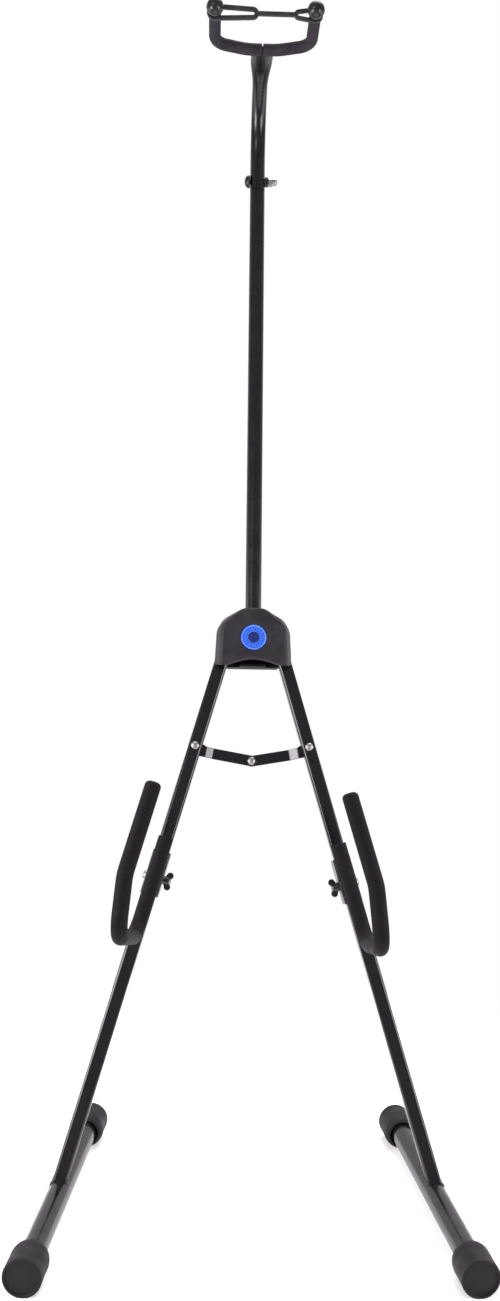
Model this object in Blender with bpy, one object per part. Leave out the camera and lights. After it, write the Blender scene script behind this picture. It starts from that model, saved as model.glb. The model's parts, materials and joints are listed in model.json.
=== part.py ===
"""A folding floor stand for a cello.

Two square legs hinge in a moulded hub and stand on tubular feet with rubber caps.
A strip brace spreads them, a padded arm slides on each leg, and a mast carries
a bent neck with a padded yoke and a rubber strap.

Run with: blender --background --python part.py
Units are metres. +Z is up and the stand faces -Y.
"""

import math

import bmesh
import bpy
from mathutils import Matrix, Quaternion, Vector
from mathutils.geometry import convex_hull_2d

MM = 0.001

# Fits
SEAT_GAP = 0.3 * MM
BORE_GAP = 0.3 * MM

# Stance: both legs and the mast lie in one plane that leans back
BACKWARD_LEAN = math.radians(16.0)
LEG_SPREAD = math.radians(16.05)
TOE_OUT = math.radians(5.6)
PIVOT_HALF_SPACING = 29.3 * MM

# Legs: square tube, measured from the pivot down to the foot tube
LEG_LENGTH = 621.2 * MM
LEG_WIDTH = 15.9 * MM
LEG_CORNER = 2.4 * MM
LEG_WALL = 1.5 * MM
LEG_TOP_OVERHANG = 12.0 * MM

# Feet
FOOT_TUBE_DIAMETER = 25.0 * MM
FOOT_TUBE_WALL = 1.5 * MM
FOOT_FRONT_REACH = 168.7 * MM
FOOT_REAR_REACH = 168.0 * MM
CAP_DIAMETER = 39.0 * MM
CAP_MOUTH_DIAMETER = 30.0 * MM
CAP_LENGTH = 40.0 * MM
CAP_END_WALL = 6.0 * MM
CAP_SHOULDER_LENGTH = 11.0 * MM
CAP_END_ROUND = 1.6 * MM
CAP_FLAT_WIDTH = 10.0 * MM

# Mast and neck
MAST_DIAMETER = 19.05 * MM
MAST_WALL = 1.5 * MM
MAST_BELOW_PIVOT = 12.0 * MM
MAST_ABOVE_PIVOT = 597.0 * MM
NECK_STRAIGHT = 37.0 * MM
NECK_BEND_RADIUS = 81.4 * MM
NECK_END_RUN = 27.5 * MM
NECK_FLATTEN_BEND = math.radians(36.0)
NECK_END_WIDTH = 27.0 * MM
NECK_END_THICKNESS = 8.4 * MM
SPIGOT_WALL = 2.0 * MM
SPIGOT_BELOW_SEAM = 45.0 * MM
SPIGOT_ABOVE_SEAM = 32.0 * MM
NECK_BOLT_ABOVE_SEAM = 14.5 * MM
NECK_BOLT_DIAMETER = 6.0 * MM
NECK_BOLT_HEAD_DIAMETER = 16.5 * MM
NECK_BOLT_HEAD_HEIGHT = 7.0 * MM
NECK_WASHER_DIAMETER = 12.7 * MM
NECK_WASHER_STAND_OFF = 4.4 * MM
NECK_NUT_ACROSS_FLATS = 10.0 * MM
NECK_NUT_HEX_HEIGHT = 5.0 * MM
NECK_NUT_HEIGHT = 11.7 * MM

# Yoke: a rod bent to a U that opens forward, padded, with ball ends
YOKE_TILT_UP = math.radians(8.4)
YOKE_ROD_DIAMETER = 9.0 * MM
YOKE_HALF_WIDTH = 58.0 * MM
YOKE_CENTRE_HALF_FLAT = 14.5 * MM
YOKE_SHOULDER_REACH = 12.0 * MM
YOKE_REACH = 82.0 * MM
YOKE_SHALLOW_RADIUS = 60.0 * MM
YOKE_CORNER_RADIUS = 20.0 * MM
YOKE_SLEEVE_DIAMETER = 14.0 * MM
YOKE_NOTCH_HALF_WIDTH = 0.7 * MM
YOKE_BALL_DIAMETER = 19.8 * MM
YOKE_ROD_PAST_BALL_CENTRE = 3.0 * MM

# Strap: rubber, flat, square to the yoke arms and hooked over them behind the balls
STRAP_THICKNESS = 3.4 * MM
STRAP_STRAND = 4.6 * MM
STRAP_SLOT_HEIGHT = 5.4 * MM
STRAP_SLOT_LENGTH = 46.0 * MM
STRAP_EYE_HEIGHT = 3.8 * MM
STRAP_EYE_LENGTH = 20.5 * MM

# Hub housing: two shells that meet in the plane of the legs
HUB_FRONT_DEPTH = 24.0 * MM
HUB_REAR_DEPTH = 21.0 * MM
HUB_STRAIGHT_DEPTH = 8.0 * MM
HUB_WALL = 2.5 * MM
HUB_TOP = 36.2 * MM
HUB_BOTTOM = -30.0 * MM
HUB_FRONT_BOTTOM = -36.0 * MM
HUB_TOP_HALF_WIDTH = 12.0 * MM
HUB_SHOULDER_HALF_WIDTH = 35.0 * MM
HUB_SHOULDER_HEIGHT = 23.5 * MM
HUB_UPPER_HALF_WIDTH = 43.4 * MM
HUB_UPPER_HEIGHT = 10.0 * MM
HUB_LOWER_HALF_WIDTH = 45.4 * MM
HUB_FACE_INSET = 9.4 * MM
HUB_FACE_TOP_DROP = 4.5 * MM
HUB_CORNER_RADIUS = 6.0 * MM
HUB_EDGE_ROUND = 5.0 * MM
HUB_ARCH_RISE = 5.3 * MM
HUB_ARCH_HALF_WIDTH = 28.5 * MM
HUB_ARCH_CHAMFER = 5.0 * MM
HUB_LEDGE_HALF_WIDTH = 31.0 * MM
HUB_LEDGE_BOTTOM = -32.0 * MM
HUB_LEDGE_HEIGHT = 4.5 * MM
HUB_LEDGE_TAB_HALF_WIDTH = 16.0 * MM
HUB_LEDGE_TAB_REACH = 5.0 * MM
LEG_SLOT_CLEARANCE = 0.6 * MM
LEDGE_CLEARANCE = 1.2 * MM

# Badge
BADGE_DIAMETER = 30.0 * MM
BADGE_THICKNESS = 1.6 * MM
BADGE_RECESS = 1.0 * MM
BADGE_HEIGHT = -2.5 * MM

# Pivot plates, pins and washers
PLATE_THICKNESS = 2.5 * MM
PLATE_PIN_LOBE = 8.5 * MM
PLATE_TOP_LOBE = 9.0 * MM
PLATE_BOTTOM_LOBE = 6.5 * MM
PIVOT_PIN_DIAMETER = 8.0 * MM
PIVOT_HEAD_DIAMETER = 13.0 * MM
PIVOT_HEAD_HEIGHT = 2.8 * MM
WASHER_DIAMETER = 15.0 * MM
MAST_RIVET_DIAMETER = 5.0 * MM
MAST_RIVET_HEAD_DIAMETER = 10.0 * MM
MAST_RIVET_HEAD_HEIGHT = 2.6 * MM
MAST_RIVET_LOW = -5.0 * MM
MAST_RIVET_HIGH = 15.0 * MM

# Housing screws
SCREW_DIAMETER = 3.5 * MM
SCREW_HEAD_DIAMETER = 6.6 * MM
SCREW_HEAD_HEIGHT = 2.2 * MM
SCREW_LENGTH = 30.0 * MM
SCREW_COUNTERBORE = 2.6 * MM
BOSS_DIAMETER_FRONT = 7.2 * MM
BOSS_DIAMETER_REAR = 9.4 * MM
BOSS_UPPER = (18.5 * MM, 21.5 * MM)
BOSS_LOWER = (15.0 * MM, -16.2 * MM)

# Brace
BRACE_RIVET_DISTANCE = 133.7 * MM
LINK_REACH = 67.8 * MM
LINK_EYE_RISE = 3.0 * MM
LINK_WIDTH = 12.7 * MM
LINK_THICKNESS = 2.5 * MM
LINK_JOGGLE_START = 12.0 * MM
LINK_JOGGLE_LENGTH = 11.0 * MM
LINK_JOGGLE_DEPTH = 4.5 * MM
BRACE_RIVET_DIAMETER = 5.0 * MM
BRACE_HEAD_DIAMETER = 9.4 * MM
BRACE_HEAD_HEIGHT = 3.0 * MM

# Side arms
LEFT_ARM_STATION = 285.5 * MM
RIGHT_ARM_STATION = 291.0 * MM
ARM_BRACKET_LENGTH = 51.0 * MM
ARM_BRACKET_SHEET = 2.0 * MM
ARM_BRACKET_CORNER = 2.6 * MM
ARM_FLANGE_CORNER = 6.0 * MM
ARM_FLANGE_BEHIND_BOLT = 6.0 * MM
ARM_RIB_WIDTH = 3.2 * MM
ARM_ROD_DIAMETER = 9.5 * MM
ARM_SLEEVE_DIAMETER = 17.2 * MM
ARM_SLEEVE_ABOVE = 41.0 * MM
ARM_BOTTOM_BELOW = 73.5 * MM
ARM_REACH = 140.0 * MM
LEFT_ARM_SWING = math.radians(4.1)
RIGHT_ARM_SWING = math.radians(-1.2)
ARM_BEND_RADIUS = 24.0 * MM
ARM_PRONG_LOWER = 60.0 * MM
ARM_PRONG_LEAN = math.radians(11.0)
ARM_PRONG_HEIGHT = 152.0 * MM
ARM_PRONG_RADIUS = 60.0 * MM
ARM_TIP_HEIGHT = 6.0 * MM
CLAMP_BOLT_DIAMETER = 6.0 * MM
CLAMP_BOLT_BELOW = 4.7 * MM
CLAMP_HEAD_DIAMETER = 11.5 * MM
CLAMP_HEAD_HEIGHT = 4.0 * MM
WING_NUT_DIAMETER = 10.5 * MM
WING_NUT_HEIGHT = 6.0 * MM
WING_SPAN = 23.0 * MM
WING_LENGTH = 10.5 * MM
WING_THICKNESS = 3.0 * MM

# Facets
ROUND_SEGMENTS = 24
CAP_SEGMENTS = 24
SLEEVE_SEGMENTS = 16
ROD_SEGMENTS = 12
SMALL_SEGMENTS = 12
BEND_STEP = math.radians(18.0)
NECK_BEND_STEP = math.radians(12.0)
SHARP_ANGLE = math.radians(35.0)
CUT_MARGIN = 5.0 * MM

# Places that follow from the sizes above
PIVOT_HEIGHT = LEG_LENGTH * math.cos(LEG_SPREAD)
FOOT_HALF_SPACING = PIVOT_HALF_SPACING + LEG_LENGTH * math.sin(LEG_SPREAD)
CAP_AXIS_HEIGHT = math.sqrt((CAP_DIAMETER / 2) ** 2 - (CAP_FLAT_WIDTH / 2) ** 2)
LEG_BASE_HEIGHT = CAP_AXIS_HEIGHT + FOOT_TUBE_DIAMETER / 2
SEAM_ABOVE_PIVOT = MAST_ABOVE_PIVOT
PLATE_INNER = MAST_DIAMETER / 2 + SEAT_GAP
PLATE_OUTER = PLATE_INNER + PLATE_THICKNESS
BRACKET_INNER = LEG_WIDTH / 2 + SEAT_GAP
BRACKET_OUTER = BRACKET_INNER + ARM_BRACKET_SHEET
ARM_ROD_DEPTH = BRACKET_OUTER + SEAT_GAP + ARM_SLEEVE_DIAMETER / 2
CLAMP_BOLT_DEPTH = LEG_WIDTH / 2 + SEAT_GAP + CLAMP_BOLT_DIAMETER / 2
NECK_BEND = math.pi / 2 + BACKWARD_LEAN
BRACE_RIVET_HALF_SPACING = PIVOT_HALF_SPACING + BRACE_RIVET_DISTANCE * math.sin(LEG_SPREAD)
LINK_SPAN = math.hypot(LINK_REACH, LINK_EYE_RISE)
LINK_DROOP = math.acos(BRACE_RIVET_HALF_SPACING / LINK_SPAN) - math.atan2(LINK_EYE_RISE, LINK_REACH)


# Materials

def material(name, colour, metallic, roughness):
    """Make a Principled material."""
    made = bpy.data.materials.new(name)
    made.use_nodes = True
    shader = made.node_tree.nodes["Principled BSDF"]
    shader.inputs["Base Color"].default_value = (*colour, 1.0)
    shader.inputs["Metallic"].default_value = metallic
    shader.inputs["Roughness"].default_value = roughness
    made.diffuse_color = (*colour, 1.0)
    return made


def make_materials():
    """Return the finishes of the stand by name."""
    return {
        "black_enamel": material("black_enamel", (0.012, 0.012, 0.014), 0.0, 0.22),
        "moulded_black": material("moulded_black", (0.035, 0.033, 0.035), 0.0, 0.62),
        "cap_rubber": material("cap_rubber", (0.05, 0.048, 0.05), 0.0, 0.72),
        "sleeve_rubber": material("sleeve_rubber", (0.03, 0.028, 0.029), 0.0, 0.8),
        "ball_rubber": material("ball_rubber", (0.014, 0.014, 0.02), 0.0, 0.3),
        "strap_rubber": material("strap_rubber", (0.035, 0.035, 0.033), 0.0, 0.6),
        "zinc": material("zinc", (0.72, 0.72, 0.7), 1.0, 0.3),
        "plain_steel": material("plain_steel", (0.5, 0.5, 0.5), 1.0, 0.4),
        "badge_blue": material("badge_blue", (0.03, 0.12, 0.7), 0.0, 0.25),
        "nut_black": material("nut_black", (0.02, 0.02, 0.02), 0.0, 0.45),
    }


# Points and rings

def circle_2d(centre, radius, segments):
    """Points round a circle, counter-clockwise."""
    step = 2 * math.pi / segments
    return [
        (centre[0] + radius * math.cos(step * i), centre[1] + radius * math.sin(step * i))
        for i in range(segments)
    ]


def hull_of_circles(circles, segments):
    """The tight outline round circles given as (x, y, radius)."""
    points = []
    for x, y, radius in circles:
        points.extend(circle_2d((x, y), radius, segments))
    return [points[i] for i in convex_hull_2d(points)]


def rounded_outline(corners, radius, steps):
    """Round each corner of a polygon; a corner may carry its own radius as a third value."""
    outline = []
    count = len(corners)
    for i, corner in enumerate(corners):
        own = corner[2] if len(corner) > 2 else radius
        here = Vector(corner[:2])
        before = Vector(corners[i - 1][:2])
        after = Vector(corners[(i + 1) % count][:2])
        arriving = (here - before).normalized()
        leaving = (after - here).normalized()
        turn = arriving.angle_signed(leaving)
        if own == 0.0 or abs(turn) < 1e-6:
            outline.append((here.x, here.y))
            continue
        set_back = own * math.tan(abs(turn) / 2)
        start = here - arriving * set_back
        end = here + leaving * set_back
        for k in range(steps + 1):
            t = k / steps
            first = start.lerp(here, t)
            second = here.lerp(end, t)
            point = first.lerp(second, t)
            outline.append((point.x, point.y))
    return outline


def rounded_square(width, corner):
    """A square section with round corners, centred on the origin."""
    half = width / 2
    corners = [(half, -half), (half, half), (-half, half), (-half, -half)]
    return rounded_outline(corners, corner, 3)


def rounded_path(corners, radii, step=BEND_STEP):
    """Points and tangents along straight runs whose corners are bent to the radii."""
    corners = [Vector(corner) for corner in corners]
    leaving = (corners[1] - corners[0]).normalized()
    stations = [(corners[0], leaving)]
    for before, corner, after, radius in zip(corners, corners[1:], corners[2:], radii):
        arriving = (corner - before).normalized()
        leaving = (after - corner).normalized()
        turn = arriving.angle(leaving)
        axis = arriving.cross(leaving).normalized()
        inward = axis.cross(arriving)
        centre = corner - arriving * radius * math.tan(turn / 2) + inward * radius
        steps = max(2, round(turn / step))
        for k in range(steps + 1):
            bend = Quaternion(axis, turn * k / steps)
            stations.append((centre - (bend @ inward) * radius, bend @ arriving))
    stations.append((corners[-1], leaving))
    return stations


def carried_frames(stations, side):
    """Give each station a side and an up direction that do not twist along the path."""
    frames = []
    previous = stations[0][1]
    side = Vector(side)
    for point, tangent in stations:
        side = previous.rotation_difference(tangent) @ side
        side = (side - tangent * side.dot(tangent)).normalized()
        frames.append((point, side, side.cross(tangent), tangent))
        previous = tangent
    return frames


def ring(frame, section):
    """Place a flat section, as (side, up) pairs, on a frame."""
    point, side, up, _ = frame
    return [point + side * a + up * b for a, b in section]


def round_rings(frames, radius, segments):
    """Equal circles on every frame."""
    section = circle_2d((0.0, 0.0), radius, segments)
    return [ring(frame, section) for frame in frames]


# Solids

def skin(rings, closed=False):
    """Skin rings of equal point count; the ends are capped unless the chain is closed."""
    bm = bmesh.new()
    loops = [[bm.verts.new(point) for point in points] for points in rings]
    pairs = list(zip(loops, loops[1:]))
    if closed:
        pairs.append((loops[-1], loops[0]))
    else:
        bm.faces.new(loops[0])
        bm.faces.new(loops[-1])
    for lower, upper in pairs:
        for i in range(len(lower)):
            j = (i + 1) % len(lower)
            bm.faces.new((lower[i], lower[j], upper[j], upper[i]))
    return bm


def turned(profile, segments):
    """Turn (radius, height) pairs about Z into a closed solid with flat ends."""
    rings = []
    for radius, height in profile:
        rings.append([Vector((x, y, height)) for x, y in circle_2d((0.0, 0.0), radius, segments)])
    return skin(rings)


def turned_ring(profile, segments):
    """Turn a closed (radius, height) outline about Z into a solid with a bore."""
    rings = []
    for radius, height in profile:
        rings.append([Vector((x, y, height)) for x, y in circle_2d((0.0, 0.0), radius, segments)])
    return skin(rings, closed=True)


def hollow_tube(frames, outer, inner, segments):
    """A tube with open ends along the frames."""
    outside = round_rings(frames, outer, segments)
    inside = round_rings(frames, inner, segments)
    return skin(outside + inside[::-1], closed=True)


def sheet(outline, holes, thickness):
    """A flat sheet in the XZ plane, centred on Y = 0, from an outline and its holes."""
    bm = bmesh.new()
    edges = []
    for loop in [outline] + holes:
        verts = [bm.verts.new((x, -thickness / 2, z)) for x, z in loop]
        for i, vert in enumerate(verts):
            edges.append(bm.edges.new((vert, verts[(i + 1) % len(verts)])))
    bmesh.ops.triangle_fill(bm, use_beauty=True, use_dissolve=False, edges=edges)
    flat = bmesh.ops.extrude_face_region(bm, geom=bm.faces[:])
    raised = [item for item in flat["geom"] if isinstance(item, bmesh.types.BMVert)]
    bmesh.ops.translate(bm, verts=raised, vec=(0.0, thickness, 0.0))
    return bm


def block(low, high):
    """A box between two corners."""
    bm = bmesh.new()
    bmesh.ops.create_cube(bm, size=1.0)
    size = [b - a for a, b in zip(low, high)]
    middle = [(a + b) / 2 for a, b in zip(low, high)]
    bmesh.ops.scale(bm, verts=bm.verts, vec=size)
    bmesh.ops.translate(bm, verts=bm.verts, vec=middle)
    return bm


def turn_to(bm, axis):
    """Turn a solid built along +Z so that it runs along another axis."""
    spin = Vector((0.0, 0.0, 1.0)).rotation_difference(Vector(axis))
    bmesh.ops.transform(bm, matrix=spin.to_matrix().to_4x4(), verts=bm.verts)
    return bm


def shifted(bm, offset):
    """Move a solid."""
    bmesh.ops.translate(bm, verts=bm.verts, vec=offset)
    return bm


# Objects

def place(name, bm, parent, finish, location=(0.0, 0.0, 0.0)):
    """Turn a built solid into a named object under its parent."""
    bmesh.ops.recalc_face_normals(bm, faces=bm.faces)
    mesh = bpy.data.meshes.new(name)
    bm.to_mesh(mesh)
    bm.free()
    if finish is not None:
        mesh.materials.append(finish)
    mesh.shade_smooth()
    mesh.set_sharp_from_angle(angle=SHARP_ANGLE)
    made = bpy.data.objects.new(name, mesh)
    made.location = location
    made.parent = parent
    bpy.context.collection.objects.link(made)
    return made


def guide(name, parent, location=(0.0, 0.0, 0.0), rotation=(0.0, 0.0, 0.0)):
    """An empty that marks a frame or a joint axis."""
    made = bpy.data.objects.new(name, None)
    made.location = location
    made.rotation_euler = rotation
    made.parent = parent
    made.empty_display_size = 10 * MM
    bpy.context.collection.objects.link(made)
    return made


def tool(target, bm, operation="DIFFERENCE", location=(0.0, 0.0, 0.0), parent=None):
    """Cut a target with a hidden solid, or join or cross it with one."""
    number = len(target.modifiers) + 1
    helper = place(f"{target.name}_tool_{number}", bm, parent or target.parent, None, location)
    helper.hide_render = True
    helper.display_type = "WIRE"
    step = target.modifiers.new(helper.name, "BOOLEAN")
    step.operation = operation
    step.object = helper
    return helper


def cylinder(radius, low, high, axis, segments=SMALL_SEGMENTS):
    """A solid round bar between two heights along an axis."""
    return turn_to(turned([(radius, low), (radius, high)], segments), axis)


def domed_profile(radius, base, height, rise=1.0):
    """Profile of a domed head from its edge at the base up to its crown."""
    points = []
    for degrees in (0, 32, 62):
        angle = math.radians(degrees)
        points.append((radius * math.cos(angle), base + rise * height * math.sin(angle)))
    points.append((radius * 0.15, base + rise * height))
    return points


def rivet(name, parent, finish, location, radius, head_radius, head_height, near, far):
    """A rivet along Y with a dome at each end; near and far are its seats."""
    tail = domed_profile(head_radius, far, head_height)
    head = domed_profile(head_radius, near, head_height, rise=-1.0)
    profile = head[::-1] + [(radius, near), (radius, far)] + tail
    solid = turn_to(turned(profile, SMALL_SEGMENTS), (0.0, 1.0, 0.0))
    return place(name, solid, parent, finish, location)


# Hub

def hub_outline(inset, top_drop, shrink, bottom):
    """Outline of the housing: inset narrows the sides and shrink takes off the wall."""
    def side(half_width):
        return half_width - inset - shrink

    top = HUB_TOP - top_drop - shrink
    corners = [
        (side(HUB_LOWER_HALF_WIDTH), bottom, 0.0),
        (side(HUB_UPPER_HALF_WIDTH), HUB_UPPER_HEIGHT),
        (side(HUB_SHOULDER_HALF_WIDTH), HUB_SHOULDER_HEIGHT - top_drop - shrink / 2),
        (HUB_TOP_HALF_WIDTH, top),
    ]
    mirrored = [(-corner[0], *corner[1:]) for corner in corners[::-1]]
    return rounded_outline(corners + mirrored, HUB_CORNER_RADIUS, 3)


def hub_body(direction, depth, shrink, outer_bottom):
    """Loft from the meeting plane to the outer face; direction is -1 for the front."""
    start = SEAT_GAP / 2 if shrink == 0.0 else -CUT_MARGIN
    draft_end = depth - HUB_EDGE_ROUND
    levels = [
        (start, 0.0),
        (HUB_STRAIGHT_DEPTH, 0.0),
        (draft_end - shrink / 2, 0.42),
        (depth - HUB_EDGE_ROUND * 0.3 - shrink, 0.74),
        (depth - shrink, 1.0),
    ]
    rings = []
    for y, share in levels:
        bottom = HUB_BOTTOM + (outer_bottom - HUB_BOTTOM) * y / depth
        if shrink > 0.0:
            bottom = outer_bottom - CUT_MARGIN
        outline = hub_outline(HUB_FACE_INSET * share, HUB_FACE_TOP_DROP * share, shrink, bottom)
        rings.append([Vector((x, direction * y, z)) for x, z in outline])
    return skin(rings)


def leg_slot(side):
    """The room that a leg needs in the walls, from the pivot down."""
    half = LEG_WIDTH / 2 + LEG_SLOT_CLEARANCE
    slot = block((-half, -half, -4 * LEG_WIDTH), (half, half, 0.0))
    tilt = Matrix.Rotation(-side * LEG_SPREAD, 4, "Y")
    bmesh.ops.transform(slot, matrix=tilt, verts=slot.verts)
    return shifted(slot, (side * PIVOT_HALF_SPACING, 0.0, 0.0))


def boss_places():
    """Each housing screw's name and place."""
    places = []
    for level, (across, up) in (("upper", BOSS_UPPER), ("lower", BOSS_LOWER)):
        for word, side in (("left", -1), ("right", 1)):
            places.append((f"hub_screw_{level}_{word}", side * across, up))
    return places


def common_hub_cuts(shell, parent):
    """Cut what both shells share: the mast's hole and the leg slots."""
    mast_hole = cylinder(
        MAST_DIAMETER / 2 + SEAT_GAP, 0.0, HUB_TOP + CUT_MARGIN, (0.0, 0.0, 1.0), ROUND_SEGMENTS
    )
    tool(shell, mast_hole, parent=parent)
    for side in (-1, 1):
        tool(shell, leg_slot(side), parent=parent)


def arch_cutter():
    """The arch below the front face, wider at the front so that its edge is chamfered."""
    rings = []
    levels = [
        (-HUB_FRONT_DEPTH - CUT_MARGIN, HUB_ARCH_CHAMFER * 2),
        (-HUB_FRONT_DEPTH + HUB_ARCH_CHAMFER, 0.0),
        (CUT_MARGIN, 0.0),
    ]
    for y, spread in levels:
        points = []
        for k in range(13):
            t = -1 + k / 6
            rise = HUB_ARCH_RISE * (1 - t * t) + spread * (1 - abs(t))
            points.append(Vector((t * (HUB_ARCH_HALF_WIDTH + spread), y, HUB_FRONT_BOTTOM + rise)))
        low = HUB_FRONT_BOTTOM - CUT_MARGIN
        points.append(Vector((HUB_ARCH_HALF_WIDTH + spread, y, low)))
        points.append(Vector((-HUB_ARCH_HALF_WIDTH - spread, y, low)))
        rings.append(points)
    return skin(rings)


def make_front_shell(hub, finish):
    """Front half of the housing, with the badge recess, bosses and the arch."""
    solid = hub_body(-1, HUB_FRONT_DEPTH, 0.0, HUB_FRONT_BOTTOM)
    shell = place("hub_front_shell", solid, hub, finish)
    tool(shell, hub_body(-1, HUB_FRONT_DEPTH, HUB_WALL, HUB_FRONT_BOTTOM), parent=hub)
    for _, across, up in boss_places():
        inner_face = HUB_FRONT_DEPTH - HUB_WALL / 2
        boss = cylinder(BOSS_DIAMETER_FRONT / 2, -inner_face, -SEAT_GAP / 2, (0.0, 1.0, 0.0))
        tool(shell, shifted(boss, (across, 0.0, up)), "UNION", parent=hub)
    for _, across, up in boss_places():
        depth = HUB_REAR_DEPTH - SCREW_COUNTERBORE - SCREW_LENGTH - SEAT_GAP
        hole = cylinder(SCREW_DIAMETER / 2 + BORE_GAP, depth, CUT_MARGIN, (0.0, 1.0, 0.0))
        tool(shell, shifted(hole, (across, 0.0, up)), parent=hub)
    common_hub_cuts(shell, hub)
    recess = cylinder(
        BADGE_DIAMETER / 2 + BORE_GAP,
        -HUB_FRONT_DEPTH - CUT_MARGIN,
        -HUB_FRONT_DEPTH + BADGE_RECESS,
        (0.0, 1.0, 0.0),
        CAP_SEGMENTS,
    )
    tool(shell, shifted(recess, (0.0, 0.0, BADGE_HEIGHT)), parent=hub)
    tool(shell, arch_cutter(), parent=hub)
    return shell


def make_rear_shell(hub, finish):
    """Rear half of the housing, with screw bosses and the ledge that shows below the arch."""
    shell = place("hub_rear_shell", hub_body(1, HUB_REAR_DEPTH, 0.0, HUB_BOTTOM), hub, finish)
    tool(shell, hub_body(1, HUB_REAR_DEPTH, HUB_WALL, HUB_BOTTOM), parent=hub)
    ledge_front = LEG_WIDTH / 2 + LEDGE_CLEARANCE
    radius = HUB_LEDGE_HEIGHT / 2
    level = HUB_LEDGE_BOTTOM + radius
    ends = [(side * (HUB_LEDGE_HALF_WIDTH - radius), level, radius) for side in (-1, 1)]
    ledge_rear = HUB_REAR_DEPTH - SEAT_GAP
    ledge = sheet(hull_of_circles(ends, SMALL_SEGMENTS), [], ledge_rear - ledge_front)
    tool(shell, shifted(ledge, (0.0, (ledge_rear + ledge_front) / 2, 0.0)), "UNION", parent=hub)
    tab = block(
        (-HUB_LEDGE_TAB_HALF_WIDTH, ledge_front - HUB_LEDGE_TAB_REACH, HUB_LEDGE_BOTTOM + SEAT_GAP),
        (HUB_LEDGE_TAB_HALF_WIDTH, ledge_front + HUB_WALL, level + radius - SEAT_GAP),
    )
    tool(shell, tab, "UNION", parent=hub)
    for _, across, up in boss_places():
        inner_face = HUB_REAR_DEPTH - HUB_WALL / 2
        boss = cylinder(BOSS_DIAMETER_REAR / 2, SEAT_GAP / 2, inner_face, (0.0, 1.0, 0.0))
        tool(shell, shifted(boss, (across, 0.0, up)), "UNION", parent=hub)
    for _, across, up in boss_places():
        counterbore_floor = HUB_REAR_DEPTH - SCREW_COUNTERBORE - SEAT_GAP
        profile = [
            (SCREW_DIAMETER / 2 + BORE_GAP, -CUT_MARGIN),
            (SCREW_DIAMETER / 2 + BORE_GAP, counterbore_floor),
            (SCREW_HEAD_DIAMETER / 2 + BORE_GAP, counterbore_floor),
            (SCREW_HEAD_DIAMETER / 2 + BORE_GAP, HUB_REAR_DEPTH + CUT_MARGIN),
        ]
        hole = turn_to(turned(profile, SMALL_SEGMENTS), (0.0, 1.0, 0.0))
        tool(shell, shifted(hole, (across, 0.0, up)), parent=hub)
    common_hub_cuts(shell, hub)
    return shell


def make_badge(hub, finish):
    """Round badge that sits in the front face's recess."""
    back = -HUB_FRONT_DEPTH + BADGE_RECESS - SEAT_GAP
    front = back - BADGE_THICKNESS
    edge = 0.4 * MM
    radius = BADGE_DIAMETER / 2
    profile = [(radius - edge, front), (radius, front + edge), (radius, back)]
    solid = turn_to(turned(profile, CAP_SEGMENTS), (0.0, 1.0, 0.0))
    return place("hub_badge", solid, hub, finish, (0.0, 0.0, BADGE_HEIGHT))


def make_hub_screws(hub, finish):
    """Four pan-head screws that close the housing from behind."""
    seat = HUB_REAR_DEPTH - SCREW_COUNTERBORE
    for name, across, up in boss_places():
        radius = SCREW_DIAMETER / 2
        head = SCREW_HEAD_DIAMETER / 2
        profile = [
            (radius * 0.5, seat - SCREW_LENGTH),
            (radius, seat - SCREW_LENGTH + radius),
            (radius, seat),
            (head, seat),
            (head, seat + SCREW_HEAD_HEIGHT * 0.6),
            (head * 0.7, seat + SCREW_HEAD_HEIGHT),
        ]
        solid = turn_to(turned(profile, SMALL_SEGMENTS), (0.0, 1.0, 0.0))
        place(name, solid, hub, finish, (across, 0.0, up))


def make_pivot_plates(hub, finish):
    """Steel plates that clamp the mast and carry both legs."""
    outline = hull_of_circles(
        [
            (-PIVOT_HALF_SPACING, 0.0, PLATE_PIN_LOBE),
            (PIVOT_HALF_SPACING, 0.0, PLATE_PIN_LOBE),
            (0.0, MAST_RIVET_HIGH, PLATE_TOP_LOBE),
            (0.0, MAST_RIVET_LOW, PLATE_BOTTOM_LOBE),
        ],
        ROUND_SEGMENTS,
    )
    pin_hole = PIVOT_PIN_DIAMETER / 2 + BORE_GAP
    rivet_hole = MAST_RIVET_DIAMETER / 2 + BORE_GAP
    holes = [circle_2d((side * PIVOT_HALF_SPACING, 0.0), pin_hole, SMALL_SEGMENTS) for side in (-1, 1)]
    for up in (MAST_RIVET_LOW, MAST_RIVET_HIGH):
        holes.append(circle_2d((0.0, up), rivet_hole, SMALL_SEGMENTS))
    middle = PLATE_INNER + PLATE_THICKNESS / 2
    for word, direction in (("front", -1), ("rear", 1)):
        solid = sheet(outline, holes, PLATE_THICKNESS)
        place(f"pivot_plate_{word}", solid, hub, finish, (0.0, direction * middle, 0.0))


def make_pivots(hub, finish):
    """Pivot pins through plates and legs, with washers that centre each leg."""
    seat = PLATE_OUTER + SEAT_GAP
    for word, side in (("left", -1), ("right", 1)):
        spot = (side * PIVOT_HALF_SPACING, 0.0, 0.0)
        rivet(
            f"{word}_pivot_pin", hub, finish, spot, PIVOT_PIN_DIAMETER / 2,
            PIVOT_HEAD_DIAMETER / 2, PIVOT_HEAD_HEIGHT, -seat, seat,
        )
        near = LEG_WIDTH / 2 + SEAT_GAP
        far = PLATE_INNER - SEAT_GAP
        inner = PIVOT_PIN_DIAMETER / 2 + BORE_GAP
        outer = WASHER_DIAMETER / 2
        for place_word, direction in (("front", -1), ("rear", 1)):
            profile = [(inner, near), (outer, near), (outer, far), (inner, far)]
            solid = turn_to(turned_ring(profile, SMALL_SEGMENTS), (0.0, direction, 0.0))
            place(f"{word}_pivot_washer_{place_word}", solid, hub, finish, spot)


# Mast and neck

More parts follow.
